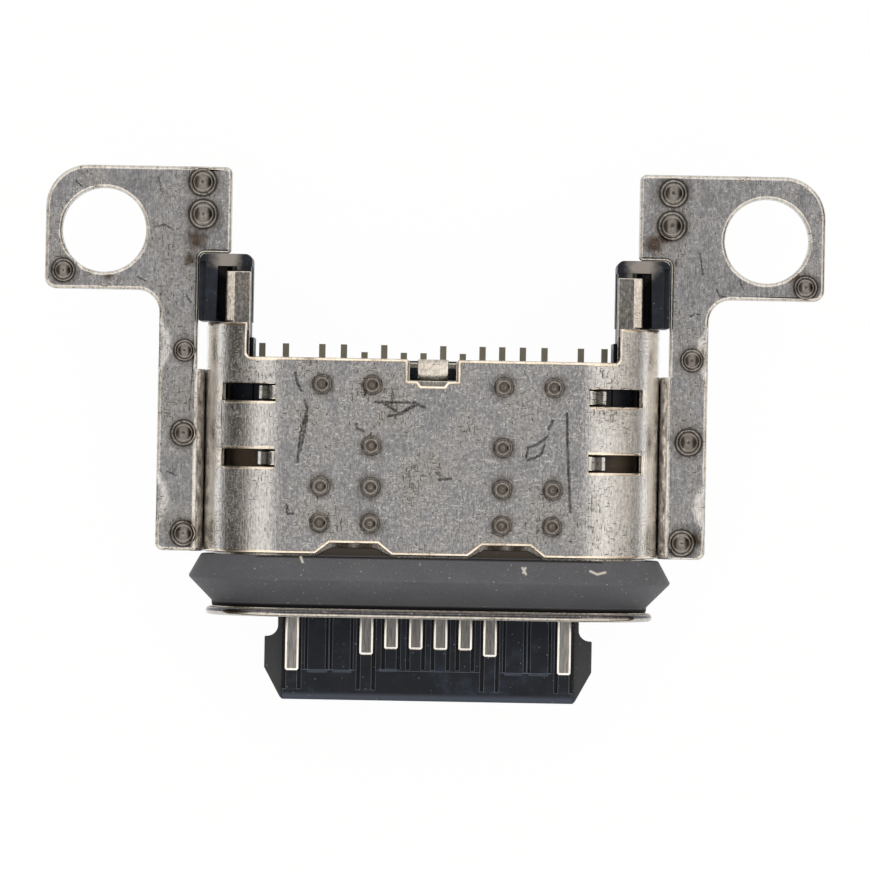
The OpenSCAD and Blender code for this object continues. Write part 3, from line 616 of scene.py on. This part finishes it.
@dataclass
class Assembly:
    """Shared bench work: takes copies of solids, rounds their edges and hands the pieces over."""

    nodes: dict[str, bpy.types.Object]
    blend: ClassVar[float] = 38.0
    sheet_slack: ClassVar[float] = 0.02

    def merged(self, node: str, cuts: tuple[float, ...] = ()) -> bmesh.types.BMesh:
        """Copies a node's mesh, with its loose triangles merged into plain faces.

        Args:
            node: Name of the solid.
            cuts: Y of planes, in mm, that part flat faces through their holes.

        Returns:
            The copy as a bmesh.
        """
        bm = bmesh.new()
        bm.from_mesh(self.nodes[node].data)
        bmesh.ops.remove_doubles(bm, verts=bm.verts, dist=MERGE)
        for y in cuts:
            cut = bmesh.ops.bisect_plane(bm, geom=bm.verts[:] + bm.edges[:] + bm.faces[:], dist=SNAP,
                                         plane_co=(0, y * MM, 0), plane_no=(0, 1, 0))
            for edge in (e for e in cut["geom_cut"] if isinstance(e, bmesh.types.BMEdge)):
                edge.seam = True
        bmesh.ops.dissolve_limit(bm, angle_limit=PLANE, verts=bm.verts, edges=bm.edges,
                                 use_dissolve_boundaries=False, delimit={"SEAM"})
        return bm

    def outward(self, bm: bmesh.types.BMesh, wanted: Callable[[Vector], bool]) -> list[bmesh.types.BMEdge]:
        """Finds the sharp outward edges of a mesh.

        Args:
            bm: Mesh to look through.
            wanted: Tells from the middle of an edge, in mm, whether it is taken.

        Returns:
            The edges.
        """
        return [e for e in bm.edges if len(e.link_faces) == 2 and e.is_convex
                and e.calc_face_angle(0.0) > SHARP
                and wanted((e.verts[0].co + e.verts[1].co) / (2 * MM))]

    def rounded(self, bm: bmesh.types.BMesh, width: float, segments: int,
                wanted: Callable[[Vector], bool] = lambda at: True) -> dict[str, list[Any]]:
        """Rounds the outward edges of a mesh.

        Args:
            bm: Mesh that is changed.
            width: Width of the rounding in mm.
            segments: Number of steps round the edge.
            wanted: Tells from the middle of an edge, in mm, whether it is rounded.

        Returns:
            The new faces, edges and corner points.
        """
        return bmesh.ops.bevel(bm, geom=self.outward(bm, wanted), offset=width * MM, offset_type="OFFSET",
                               segments=segments, profile=0.5, affect="EDGES", clamp_overlap=False, material=-1)

    def rolled_over(self, bm: bmesh.types.BMesh, width: float, drop: float, face: Callable[[Vector], Vector],
                    wanted: Callable[[Vector], bool]) -> None:
        """Rolls the edges of a sheet's face over, as the punch leaves them: a wide shallow slope in the second finish.

        Args:
            bm: Mesh that is changed.
            width: Width of the slope in mm.
            drop: How far the slope falls in mm.
            face: Gives the nearest point of the sheet's face, in mm.
            wanted: Tells from the middle of an edge, in mm, whether it is rolled over.
        """
        made = self.rounded(bm, width, 1, lambda at: wanted(at) and (face(at) - at).length < self.sheet_slack)
        for slope in made["faces"]:
            slope.material_index = EDGE
        for vert in made["verts"]:
            at = vert.co / MM
            top = face(at)
            depth = (at - top).length
            if depth > 0.5 * width:
                vert.co = (top + (at - top) * (drop / depth)) * MM

    def facing(self, at: Vector) -> Optional[Vector]:
        """Direction of a curved sheet's face at a place in mm, where it is known."""
        return None

    def fair(self, mesh: bpy.types.Mesh) -> None:
        """Sets the corner normals: flat and known faces keep theirs up to the rim, and slopes run into them.

        Args:
            mesh: Mesh that is changed.
        """
        normals = [corner.vector.copy() for corner in mesh.corner_normals]
        even: dict[int, list[Vector]] = {}
        slopes = []
        for face in mesh.polygons:
            known = self.facing(face.center / MM)
            flat = max(abs(c) for c in face.normal) > FLAT
            if not flat and (known is None or known.dot(face.normal) < CURVED):
                slopes.append(face)
                continue
            for corner in face.loop_indices:
                vert = mesh.loops[corner].vertex_index
                normals[corner] = face.normal.copy() if flat else self.facing(mesh.vertices[vert].co / MM)
                even.setdefault(vert, []).append(normals[corner])
        for face in slopes:
            for corner in face.loop_indices:
                for normal in even.get(mesh.loops[corner].vertex_index, []):
                    if normal.dot(face.normal) > math.cos(math.radians(self.blend)):
                        normals[corner] = normal
        mesh.normals_split_custom_set(normals)

    def piece(self, bm: bmesh.types.BMesh, name: str, slot: Slot, materials: list[bpy.types.Material],
              stands_for: Optional[str] = None) -> bpy.types.Object:
        """Makes an object of a bmesh, smooth but with its sharp edges kept, and lets it ride on the part.

        Args:
            bm: Finished mesh, which is freed.
            name: Name of the piece.
            slot: Slot of the record; not used.
            materials: Its materials.
            stands_for: Name of the solid that it replaces.

        Returns:
            The object.
        """
        bmesh.ops.remove_doubles(bm, verts=bm.verts, dist=SLIVER)
        bmesh.ops.dissolve_degenerate(bm, dist=SLIVER, edges=bm.edges)
        for face in bm.faces:
            face.smooth = True
        for edge in bm.edges:
            edge.smooth = len(edge.link_faces) == 2 and edge.calc_face_angle(0.0) < CREASE
        mesh = bpy.data.meshes.new(name)
        bm.to_mesh(mesh)
        bm.free()
        self.fair(mesh)
        for material in materials:
            mesh.materials.append(material)
        obj = bpy.data.objects.new(name, mesh)
        bpy.context.scene.collection.objects.link(obj)
        if stands_for:
            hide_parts(stands_for)
        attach(obj, "root")
        LOG.info("%s: %d faces", name, len(mesh.polygons))
        return obj


def clear_of(spots: tuple[Spot, ...], at: Vector) -> bool:
    """True for a place in mm that is not part of any of the weld spots."""
    return all(math.hypot(at.x - x, at.y - y) > WELD_REACH * size for x, y, size in spots)


@dataclass
class WeldSpots(Assembly):
    """Resistance weld spots: a round dish with a crest, a groove and a bead, one over each dish of the sheet."""

    name: str
    slot: Slot
    spots: tuple[Spot, ...]
    level: float
    steps: int = 32
    uneven: float = 0.006
    lump: float = 0.11
    skin: float = 0.003
    profile: tuple[Point, ...] = (
        (0.000, -0.1105), (0.060, -0.107), (0.120, -0.096), (0.180, -0.078), (0.240, -0.050), (0.290, -0.020),
        (0.335, 0.012), (0.355, 0.018), (0.375, 0.012), (0.395, -0.007), (0.410, -0.014), (0.425, -0.007),
        (0.445, 0.016), (0.465, 0.026), (0.490, 0.020), (0.520, 0.002), (0.545, -0.011))

    def build(self, material: bpy.types.Material) -> bpy.types.Object:
        """Spins one spot after the other from the profile, whose sizes are shares of the diameter.

        Args:
            material: Finish of the spots.

        Returns:
            The piece.
        """
        bm = bmesh.new()
        for x, y, size in self.spots:
            middle = Vector((x, y, self.level)) * MM
            row = [bm.verts.new(middle + Vector((r, 0, z)) * size * MM) for r, z in self.profile]
            line = [bm.edges.new(pair) for pair in zip(row, row[1:])]
            bmesh.ops.spin(bm, geom=row + line, cent=middle, axis=(0, 0, 1), angle=2 * math.pi, steps=self.steps,
                           use_merge=True)
        bmesh.ops.remove_doubles(bm, verts=bm.verts, dist=MERGE)
        for vert in bm.verts:
            vert.co.z += self.uneven * MM * noise.noise(vert.co / (self.lump * MM))
        bmesh.ops.reverse_faces(bm, faces=[f for f in bm.faces if f.normal.z < 0])
        bmesh.ops.solidify(bm, geom=bm.faces[:], thickness=self.skin * MM)
        return self.piece(bm, self.name, self.slot, [material])


@dataclass
class OuterShell(Assembly):
    """The rolled shell round the tube, with windows, notches and weld spots on its top face."""

    axis: float = 0.10
    spine: float = 2.935
    radius: float = 1.65
    rear: float = -2.52
    columns: tuple[float, ...] = (-2.22, -1.21, 1.43, 2.44)
    rows: tuple[float, ...] = (-0.53, -2.58, -3.31)
    middle_row: float = -1.75
    inner: float = 2.0
    windows: tuple[float, ...] = (-3.23, -4.55)
    window_reach: float = 0.3
    window_ends: float = 0.1
    lip: Point = (4.17, 0.42)
    weld: float = 0.36
    roll: Point = (0.068, 0.018)
    window_roll: Point = (0.055, 0.015)
    burr: float = 0.018

    def spots(self) -> tuple[Spot, ...]:
        """Lists the weld spots: a grid, and a row between of its inner columns alone.

        Returns:
            X, Y and diameter of each spot in mm.
        """
        grid = [(x, self.rear + y, self.weld) for x in self.columns for y in self.rows]
        middle = [(x, self.rear + self.middle_row, self.weld) for x in self.columns if abs(x) < self.inner]
        return tuple(grid + middle)

    def off_welds(self, at: Vector) -> bool:
        """True for a place that is not part of a weld spot."""
        return clear_of(self.spots(), at)

    def by_window(self, at: Vector, reach: float) -> bool:
        """True for a place on a rounded side that is within a reach, in mm along Y, of a window's middle."""
        return abs(at.x) > self.spine and any(abs(at.y - y) < reach for y in self.windows)

    def highlight_lips(self) -> tuple[Spot, ...]:
        """Places and sizes of the painted highlights at the outer ends of the windows."""
        return tuple((side * self.lip[0], y, self.lip[1]) for side in (-1, 1) for y in self.windows)

    def core(self, at: Vector) -> Vector:
        """Nearest point of the spine that the shell is rolled round, in mm."""
        return Vector((max(-self.spine, min(self.spine, at.x)), at.y, self.axis))

    def face(self, at: Vector) -> Vector:
        """Nearest point of the shell's outer face, in mm."""
        return self.core(at) + self.facing(at) * self.radius

    def facing(self, at: Vector) -> Optional[Vector]:
        """Direction of the shell's outer face at a place in mm."""
        return (at - self.core(at)).normalized()

    def by_ends(self, at: Vector) -> bool:
        """True for a place at a window's two ends along Y, which have less room."""
        return self.by_window(at, self.window_reach) and not self.by_window(at, self.window_ends)

    def strokes(self) -> tuple[Stroke, ...]:
        """Scratches on the top face, as the used part has them."""
        return (
            ((-2.76, -2.83), (-2.72, -3.02), (-2.62, -3.20)),
            ((-2.56, -3.38), (-2.50, -3.55), (-2.55, -3.75), (-2.63, -4.05), (-2.68, -4.62)),
            ((-2.50, -3.70), (-2.63, -4.40)),
            ((2.70, -3.55), (2.72, -4.20), (2.80, -5.52)),
            ((-2.88, -5.48), (-2.86, -5.66), (-2.76, -5.66)),
            ((1.90, -4.45), (1.93, -4.24), (2.10, -4.20), (2.32, -4.02)),
            ((1.93, -4.50), (2.18, -4.40), (2.26, -4.20)),
            ((-0.98, -3.42), (-0.62, -3.62), (-0.30, -3.42), (-0.16, -3.48)),
            ((-0.86, -3.66), (-0.66, -3.62), (-0.40, -3.46)),
            ((-1.15, -3.39), (-0.35, -3.39)),
            ((0.16, -4.92), (0.40, -4.90)),
            ((-1.52, -3.84), (-1.50, -3.93), (-1.36, -3.98)),
            ((2.34, -3.86), (2.42, -3.70)),
            ((-1.36, -3.26), (-1.30, -3.08)),
        )

    def build(self) -> None:
        """Makes the shell and its weld spots."""
        steel = SheetSteel("rolled_stainless_steel", spots=self.spots(), strokes=self.strokes(), flocks=(0.805, 0.925),
                           grime=(4.52, 4.62), polish_and_highlight=(4.08, 4.42), sunk=(self.spine, self.axis, self.radius),
                           highlight_lips=self.highlight_lips()).material()
        fused = SheetSteel("fused_weld_steel_sooty", rough=0.22, relief=0.0010, pits=0.0, spots=self.spots(),
                           soot=0.82).material()
        bm = self.merged("outer_shell", tuple(self.rear + y for y in (*self.rows, self.middle_row)))
        self.rolled_over(bm, *self.roll, self.face,
                         lambda at: self.off_welds(at) and not self.by_window(at, self.window_reach))
        self.rolled_over(bm, *self.window_roll, self.face, self.by_ends)
        self.rounded(bm, self.burr, 2, self.off_welds)
        # The rolled-over edges are burnished, and painted lighter still, in a cream tone, as a highlight.
        rim = SheetSteel("burnished_stainless_edge", bright="#f8eee0", dull="#dfd3c2", rough=0.20, relief=0.0015,
                         tarnish_share=0.45).material()
        self.piece(bm, "rolled_shell", Slot.ROLLED, [steel, rim], "outer_shell")
        WeldSpots(self.nodes, "shell_weld_spots", Slot.ROLLED, self.spots(), self.axis + self.radius).build(fused)


@dataclass
class Bracket(Assembly):
    """The bent sheet under the shell with its two wings, and the plates under the wings."""

    top: float = 0.40
    spots: tuple[Spot, ...] = (
        (5.23, -2.43, 0.42), (5.19, -4.09, 0.50), (5.08, -6.13, 0.50), (-5.03, -2.41, 0.40), (-5.02, -4.08, 0.48),
        (-4.99, -6.11, 0.48), (4.80, 0.94, 0.52), (4.78, 0.28, 0.54), (-4.72, 1.00, 0.52), (-4.70, 0.35, 0.54),
        (7.50, -0.92, 0.44), (-7.51, -0.83, 0.44))
    stains: tuple[Spot, ...] = (
        (4.40, -0.12, 0.55), (4.62, 0.05, 0.40), (-4.82, -0.18, 0.60), (-4.95, -0.55, 0.35), (7.22, -0.66, 0.45),
        (-4.88, -6.02, 0.60), (5.35, -6.05, 0.35), (-6.6, -0.93, 0.25))
    rings: tuple[Point, ...] = ((0.41, 0.5), (0.545, 0.8))
    cuts: tuple[float, ...] = (-6.12, -4.085, -2.42, -1.0, 0.0, 0.315, 0.97)
    belly: float = -1.6
    roll: Point = (0.055, 0.013)
    burr: float = 0.025
    plate_burr: float = 0.03

    def off_welds(self, at: Vector) -> bool:
        """True for a place that is part of neither a weld spot nor the underside of the saddle."""
        return clear_of(self.spots, at) and at.z > self.belly

    def face(self, at: Vector) -> Vector:
        """Nearest point of the wings' top face, in mm."""
        return Vector((at.x, at.y, self.top))

    def strokes(self) -> tuple[Stroke, ...]:
        """Nicks and scratches on the wings, as the used part has them."""
        return (
            ((5.18, -1.55), (5.26, -1.48), (5.36, -1.50)), ((5.70, -0.98), (5.76, -1.12), (5.90, -1.14)),
            ((6.16, -0.78), (6.24, -0.98)), ((6.30, -0.80), (6.42, -0.86)),
            ((-5.66, 0.08), (-5.46, 0.12), (-5.30, 0.02)), ((-5.02, -1.28), (-4.92, -1.44)),
            ((-6.0, -0.94), (-5.85, -1.02)), ((-5.34, -4.86), (-5.16, -4.94)), ((-5.62, 1.10), (-5.56, 0.80)),
            ((5.35, -0.25), (5.42, -0.70)), ((-7.28, 0.98), (-7.16, 0.86)),
        )

    def build(self) -> None:
        """Makes the bracket, the two plates and the weld spots."""
        steel = SheetSteel("stamped_stainless_steel", bright="#d7d7d8", dull="#adadae", soot=0.60,
                           spots=self.spots, stains=self.stains, strokes=self.strokes(), polish_and_highlight=(4.84, 4.77),
                           rubbed=0.5, grime=(4.765, 4.735), crumbs=(0.28, 0.66), nick=(0.036, 0.062),
                           rings=self.rings).material()
        fused = SheetSteel("fused_weld_steel", rough=0.20, relief=0.0008, pits=0.0, spots=self.spots, soot=0.50,
                           rings=self.rings, painted_side_shade=0.85).material()
        plate = SheetSteel("plain_stainless_steel", bright="#d1d0ce", dull="#a3a19e").material()
        bm = self.merged("saddle_bracket", self.cuts)
        self.rolled_over(bm, *self.roll, self.face, self.off_welds)
        self.rounded(bm, self.burr, 2, self.off_welds)
        # The rolled-over edges are rubbed, and painted lighter still as a highlight.
        rim = SheetSteel("rubbed_stainless_edge", bright="#e0ddd8", dull="#bcb9b4", rough=0.22,
                         relief=0.0035).material()
        self.piece(bm, "saddle_and_wings", Slot.BRACKET, [steel, rim], "saddle_bracket")
        for node in ("left_ear_plate", "right_ear_plate"):
            bm = self.merged(node, (0.0,))
            self.rounded(bm, self.plate_burr, 2)
            self.piece(bm, node.replace("plate", "stiffener"), Slot.EAR, [plate], node)
        WeldSpots(self.nodes, "wing_weld_spots", Slot.BRACKET, self.spots, self.top).build(fused)


@dataclass
class Tube(Assembly):
    """The drawn tube with its flange and legs, and the thin pads at the root of the tongue."""

    blend: ClassVar[float] = 8.0
    rim_line: float = -7.56
    crest_line: float = -7.637
    edge_line: float = -7.592
    leg_line: float = -1.85
    burr: float = 0.022
    pad_burr: float = 0.02
    # Brown darkening of the tube under the shell's notches: painted shade for the gaps beside the rubber lugs.
    dirt: tuple[Spot, ...] = ((1.30, -6.28, 0.5), (1.76, -6.28, 0.5), (-1.30, -6.28, 0.5), (-1.76, -6.28, 0.5))

    def finish(self, face: bmesh.types.BMFace) -> TubeFinish:
        """Picks the finish of a face: the flange goes through three from front to rear, a polished rim, a band with
        painted shade and a scuffed band with a painted highlight, and the legs have their own.

        Args:
            face: Face of the tube.

        Returns:
            The finish.
        """
        y = face.calc_center_median().y / MM
        if y < self.crest_line:
            return TubeFinish.RIM
        if y < self.edge_line:
            return TubeFinish.BACK
        if y < self.rim_line:
            return TubeFinish.SCUFFED_AND_LIT
        looks_up = face.normal.z > 0.98
        return TubeFinish.LEG if y > self.leg_line and looks_up else TubeFinish.BODY

    def build(self) -> None:
        """Makes the tube, the pads and the plate inside the tongue."""
        # The stains of the drawn steel are the painted shade under the notches.
        steel = SheetSteel("drawn_stainless_steel", bright="#e0dbd4", dull="#b2aea7", rough=0.26, pits=0.35,
                           stains=self.dirt, stain="#4d3d2e").material()
        rim = SheetSteel("polished_stainless_rim", bright="#cdc9c3", dull="#aeaaa3", rough=0.12, relief=0.0012,
                         tarnish_share=0.15).material()
        # Painted shade: a dark copy of the steel just behind the flange's crest.
        back = SheetSteel("tarnished_stainless_rim", bright="#67656b", dull="#424145", rough=0.14,
                          relief=0.0012).material()
        # Scuffed, and painted lighter as a highlight: the band at the flange's rear edge.
        scuffed_and_lit = SheetSteel("scuffed_stainless_rim", bright="#fbf6ee", dull="#e0d9cf", rough=0.52, relief=0.0012,
                             pits=0.2).material()
        legs = SheetSteel("dull_drawn_stainless_steel", bright="#bcb8b2", dull="#837f79", rough=0.24).material()
        bm = self.merged("inner_shell")
        self.rounded(bm, self.burr, 3)
        for face in bm.faces:
            face.material_index = self.finish(face)
        self.piece(bm, "drawn_tube", Slot.DRAWN, [steel, rim, legs, back, scuffed_and_lit], "inner_shell")
        for node in ("upper_ground_collar", "lower_ground_collar", "mid_plate"):
            bm = self.merged(node)
            self.rounded(bm, self.pad_burr, 2)
            self.piece(bm, node + "_sheet", Slot.DRAWN, [steel], node)


@dataclass
class Seal(Assembly):
    """The rubber ring at the mouth and the bonded ring inside."""

    rounding: float = 0.03
    scuffs: tuple[Stroke, ...] = (
        ((1.86, -6.66), (1.93, -6.78)), ((1.92, -6.66), (1.88, -6.75)),
        ((3.22, -6.70), (3.36, -6.76), (3.52, -6.72)), ((-2.58, -6.52), (-2.54, -6.62)))

    def build(self) -> None:
        """Makes both rubber rings."""
        rubber = MouldedRubber("moulded_silicone_rubber", scuffs=self.scuffs).material()
        for node, name, segments in (("seal_ring", "seal_lip_ring", 3), ("seal_bead", "bonded_bead", 2)):
            bm = self.merged(node)
            self.rounded(bm, self.rounding, segments)
            self.piece(bm, name, Slot.RUBBER, [rubber], node)


@dataclass
class Tongue(Assembly):
    """The black moulding with tongue, wall and rear posts, and the blocks that hold the contact rows."""

    post: Point = (3.6, -1.9)
    arm: Point = (4.3, -0.69)
    heel: Point = (4.38, -1.8)
    step: Point = (4.74, -0.59)
    step_width: float = 0.005
    wall_line: float = -6.0
    post_rounding: float = 0.03
    tongue_rounding: float = 0.010
    block_rounding: float = 0.015

    def on_post(self, at: Vector) -> bool:
        """Picks the edges of the rear posts that have room to be rounded, which arms and heels have not.

        Args:
            at: Middle of the edge in mm.

        Returns:
            True for an edge that is rounded.
        """
        tight = any(abs(at.x) < x and at.y < y for x, y in (self.arm, self.heel))
        return abs(at.x) > self.post[0] and at.y > self.post[1] and not tight

    def ease_step(self, bm: bmesh.types.BMesh) -> None:
        """Dissolves the upright facet at the step of each post, which is too narrow for the rounding beside it.

        Args:
            bm: Mesh that is changed.
        """
        x, y = self.step
        slim = [e for e in bm.edges if all(
            abs(v.co.x) > x * MM and abs(v.co.y - y * MM) < self.step_width * MM for v in e.verts)]
        bmesh.ops.dissolve_edges(bm, edges=slim, use_verts=True)

    def build(self) -> None:
        """Makes the moulding and the two blocks."""
        plastic = MouldedPlastic("moulded_black_plastic").material()
        bm = self.merged("tongue_housing")
        self.ease_step(bm)
        self.rounded(bm, self.post_rounding, 3, self.on_post)
        for face in self.rounded(bm, self.tongue_rounding, 2, lambda at: at.y < self.wall_line)["faces"]:
            face.material_index = EDGE
        # The rounded edges of the tongue are rubbed paler, and painted lighter still as a highlight.
        rubbed = MouldedPlastic("rubbed_plastic_edge", base="#59616f", worn="#768195").material()
        self.piece(bm, "tongue_moulding", Slot.PLASTIC, [plastic, rubbed], "tongue_housing")
        for node in ("upper_contact_carrier", "lower_contact_carrier"):
            bm = self.merged(node)
            self.rounded(bm, self.block_rounding, 2)
            self.piece(bm, node.replace("carrier", "block"), Slot.PLASTIC, [plastic], node)


@dataclass
class ContactRows(Assembly):
    """Two rows of eight stamped contacts with coined edges."""

    blend: ClassVar[float] = 5.0
    count: int = 8
    coin: float = 0.039
    drop: float = 0.014

    def contact(self, node: str, side: Side, materials: list[bpy.types.Material]) -> None:
        """Coins the outer edges of one contact's face.

        Args:
            node: Name of the contact's solid.
            side: Face of the tongue that it lies on.
            materials: Finishes of its face and of its coined edge.
        """
        bm = self.merged(node)
        face = max((f for f in bm.faces if f.normal.z * side.value > 0.99), key=lambda f: f.calc_area())
        rim = list(face.verts)
        bmesh.ops.inset_region(bm, faces=[face], thickness=self.coin * MM, use_even_offset=True, use_boundary=True)
        for vert in rim:
            vert.co.z -= side.value * self.drop * MM
        for ring in {f for v in rim for f in v.link_faces if f.normal.z * side.value > 0.5 and f is not face}:
            ring.material_index = EDGE
        self.piece(bm, node + "_stamping", Slot.CONTACT, materials, node)

    def build(self) -> None:
        """Makes the sixteen contacts; the plug has worn the two outer ones of each row brighter."""
        # The coined edges are burnished, and painted lighter still as a highlight.
        edge = PlatedContact("burnished_contact_edge", face="#fbfaf7", dull="#e2e0dc", rough=0.20).material()
        bright = PlatedContact("silver_grey_plated_contact").material()
        dim = PlatedContact("dull_grey_plated_contact", face="#b2b0ac", dull="#807f7e").material()
        for i in range(1, self.count + 1):
            face = bright if i in (1, self.count) else dim
            self.contact(f"upper_contact_{i}", Side.UPPER, [face, edge])
            self.contact(f"lower_contact_{i}", Side.LOWER, [face, edge])


@dataclass
class Studio:
    """Camera over the welded face, a white sheet under the part and a soft dome of light."""

    look: Point = (0.063, -4.03)
    turn: float = 1.04
    field: float = 17.576
    contact_level: float = 0.465
    floor: float = -1.845
    sensor: float = 36.0
    lens: float = 300.0
    sheet: float = 17.0
    sheet_fade: float = 2.0
    sheet_glow: float = 0.97
    table: float = 250.0
    strength: float = 1.42
    zenith: Stops = ((0, "#505053"), (14, "#868688"))
    left: Stops = ((22, "#ebe5dd"), (42, "#ebe5dd"), (60, "#6c6760"), (74, "#433e37"), (96, "#3e3932"))
    right: Stops = ((22, "#f2ebe2"), (46, "#f2ebe2"), (62, "#d2cabf"), (96, "#b5aca0"))
    front: Stops = ((22, "#fbf5ed"), (60, "#fbf5ed"), (78, "#8f8a86"), (98, "#5f5a54"))
    rear: Stops = ((22, "#fbf5ed"), (60, "#fbf5ed"), (80, "#9e968c"), (100, "#7c766e"))

    def camera(self) -> None:
        """Sets the camera straight above the part, turned as the photograph is."""
        data = bpy.data.cameras.new("camera")
        data.sensor_width = self.sensor
        data.lens = self.lens
        data.clip_start = 0.01
        obj = bpy.data.objects.new("camera", data)
        height = self.field * self.lens / self.sensor + self.contact_level
        obj.location = Vector((self.look[0], self.look[1], height)) * MM
        obj.rotation_euler = (0, 0, math.radians(self.turn))
        bpy.context.scene.collection.objects.link(obj)
        bpy.context.scene.camera = obj

    def ground(self) -> None:
        """Lays a white sheet that fades into a grey table further out."""
        g = Ground("white_paper_on_grey_table")
        t = g.tree
        off = add(t, "VectorMath", {0: g.place, 1: (self.look[0], self.look[1], self.floor)}, operation="SUBTRACT")
        size = add(t, "VectorMath", {0: off}, operation="ABSOLUTE")
        across = add(t, "SeparateXYZ", {0: size})
        reach = add(t, "Math", {0: across, 1: across.node.outputs[1]}, operation="MAXIMUM")
        paper = add(t, "MapRange", {0: reach, 1: self.sheet, 2: self.sheet + self.sheet_fade, 3: 1.0, 4: 0.0},
                    **SMOOTH)
        path = add(t, "LightPath").node.outputs
        seen = add(t, "Math", {0: path["Is Camera Ray"], 1: path["Is Glossy Ray"]}, operation="MAXIMUM")
        seen = add(t, "Math", {0: seen, 1: path["Is Transmission Ray"]}, operation="MAXIMUM")
        share = add(t, "Math", {0: seen, 1: paper}, operation="MULTIPLY")
        share = add(t, "Math", {0: share, 1: self.sheet_glow}, operation="MULTIPLY")
        colour = add(t, "Mix", {0: paper, 6: linear("#5c5751"), 7: linear("#ffffff")}, **COLOUR)
        dull = add(t, "BsdfDiffuse", {"Color": colour})
        glow = add(t, "Emission", {"Color": (1, 1, 1, 1), "Strength": 1.0})
        mix = add(t, "MixShader", {0: share, 1: dull, 2: glow})
        add(t, "OutputMaterial", {"Surface": mix})
        bm = bmesh.new()
        bmesh.ops.create_circle(bm, cap_ends=True, radius=self.table * MM, segments=96)
        bmesh.ops.translate(bm, vec=Vector((*self.look, self.floor)) * MM, verts=bm.verts)
        mesh = bpy.data.meshes.new("floor")
        bm.to_mesh(mesh)
        bm.free()
        mesh.materials.append(g.material)
        obj = bpy.data.objects.new("floor", mesh)
        bpy.context.scene.collection.objects.link(obj)

    def dome(self) -> None:
        """Lights the part with a soft bright ring round a darker zenith: wide fore and aft, dim at the left horizon."""
        world = bpy.data.worlds.new("soft_dome")
        world.use_nodes = True
        tree = world.node_tree
        tree.nodes.clear()
        ray = add(tree, "TexCoord", out="Generated")
        parts = add(tree, "SeparateXYZ", {0: ray}).node.outputs
        tilt = add(tree, "Math", {0: parts[2]}, operation="ARCCOSINE")
        share = add(tree, "Math", {0: tilt, 1: math.pi}, operation="DIVIDE")
        tones = []
        for stops in (self.zenith + side for side in (self.left, self.right, self.front, self.rear)):
            tone = add(tree, "ValToRGB", {0: share})
            tone.node.color_ramp.interpolation = "EASE"
            band = tone.node.color_ramp.elements
            while len(band) < len(stops):
                band.new(0.5)
            for element, (angle, code) in zip(band, stops):
                element.position = angle / 180
                element.color = linear(code)
            tones.append(tone)
        level = add(tree, "VectorMath", {0: ray, 1: (1, 1, 0)}, operation="MULTIPLY")
        level = add(tree, "VectorMath", {0: level}, operation="NORMALIZE")
        compass = add(tree, "SeparateXYZ", {0: level}).node.outputs
        east = add(tree, "MapRange", {0: compass[0], 1: -0.5, 2: 0.5}, **SMOOTH)
        north = add(tree, "MapRange", {0: compass[1], 1: -0.5, 2: 0.5}, **SMOOTH)
        along = add(tree, "Math", {0: compass[1]}, operation="ABSOLUTE")
        along = add(tree, "MapRange", {0: along, 1: 0.25, 2: 0.65}, **SMOOTH)
        sides = add(tree, "Mix", {0: east, 6: tones[0], 7: tones[1]}, **COLOUR)
        ends = add(tree, "Mix", {0: north, 6: tones[2], 7: tones[3]}, **COLOUR)
        tone = add(tree, "Mix", {0: along, 6: sides, 7: ends}, **COLOUR)
        sky = add(tree, "Background", {"Color": tone, "Strength": self.strength})
        add(tree, "OutputWorld", {"Surface": sky})
        bpy.context.scene.world = world

    def build(self) -> None:
        """Sets up camera, floor and light."""
        bpy.context.scene.view_settings.view_transform = "Standard"
        self.camera()
        self.ground()
        self.dome()


def main() -> None:
    """Builds the part's looks in order."""
    logging.basicConfig(level=logging.INFO, format="%(message)s")
    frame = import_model()
    Studio().build()
    nodes = frame["nodes"]
    for assembly in (OuterShell, Bracket, Tube, Seal, Tongue, ContactRows):
        assembly(nodes).build()


if __name__ == "__main__":
    main()
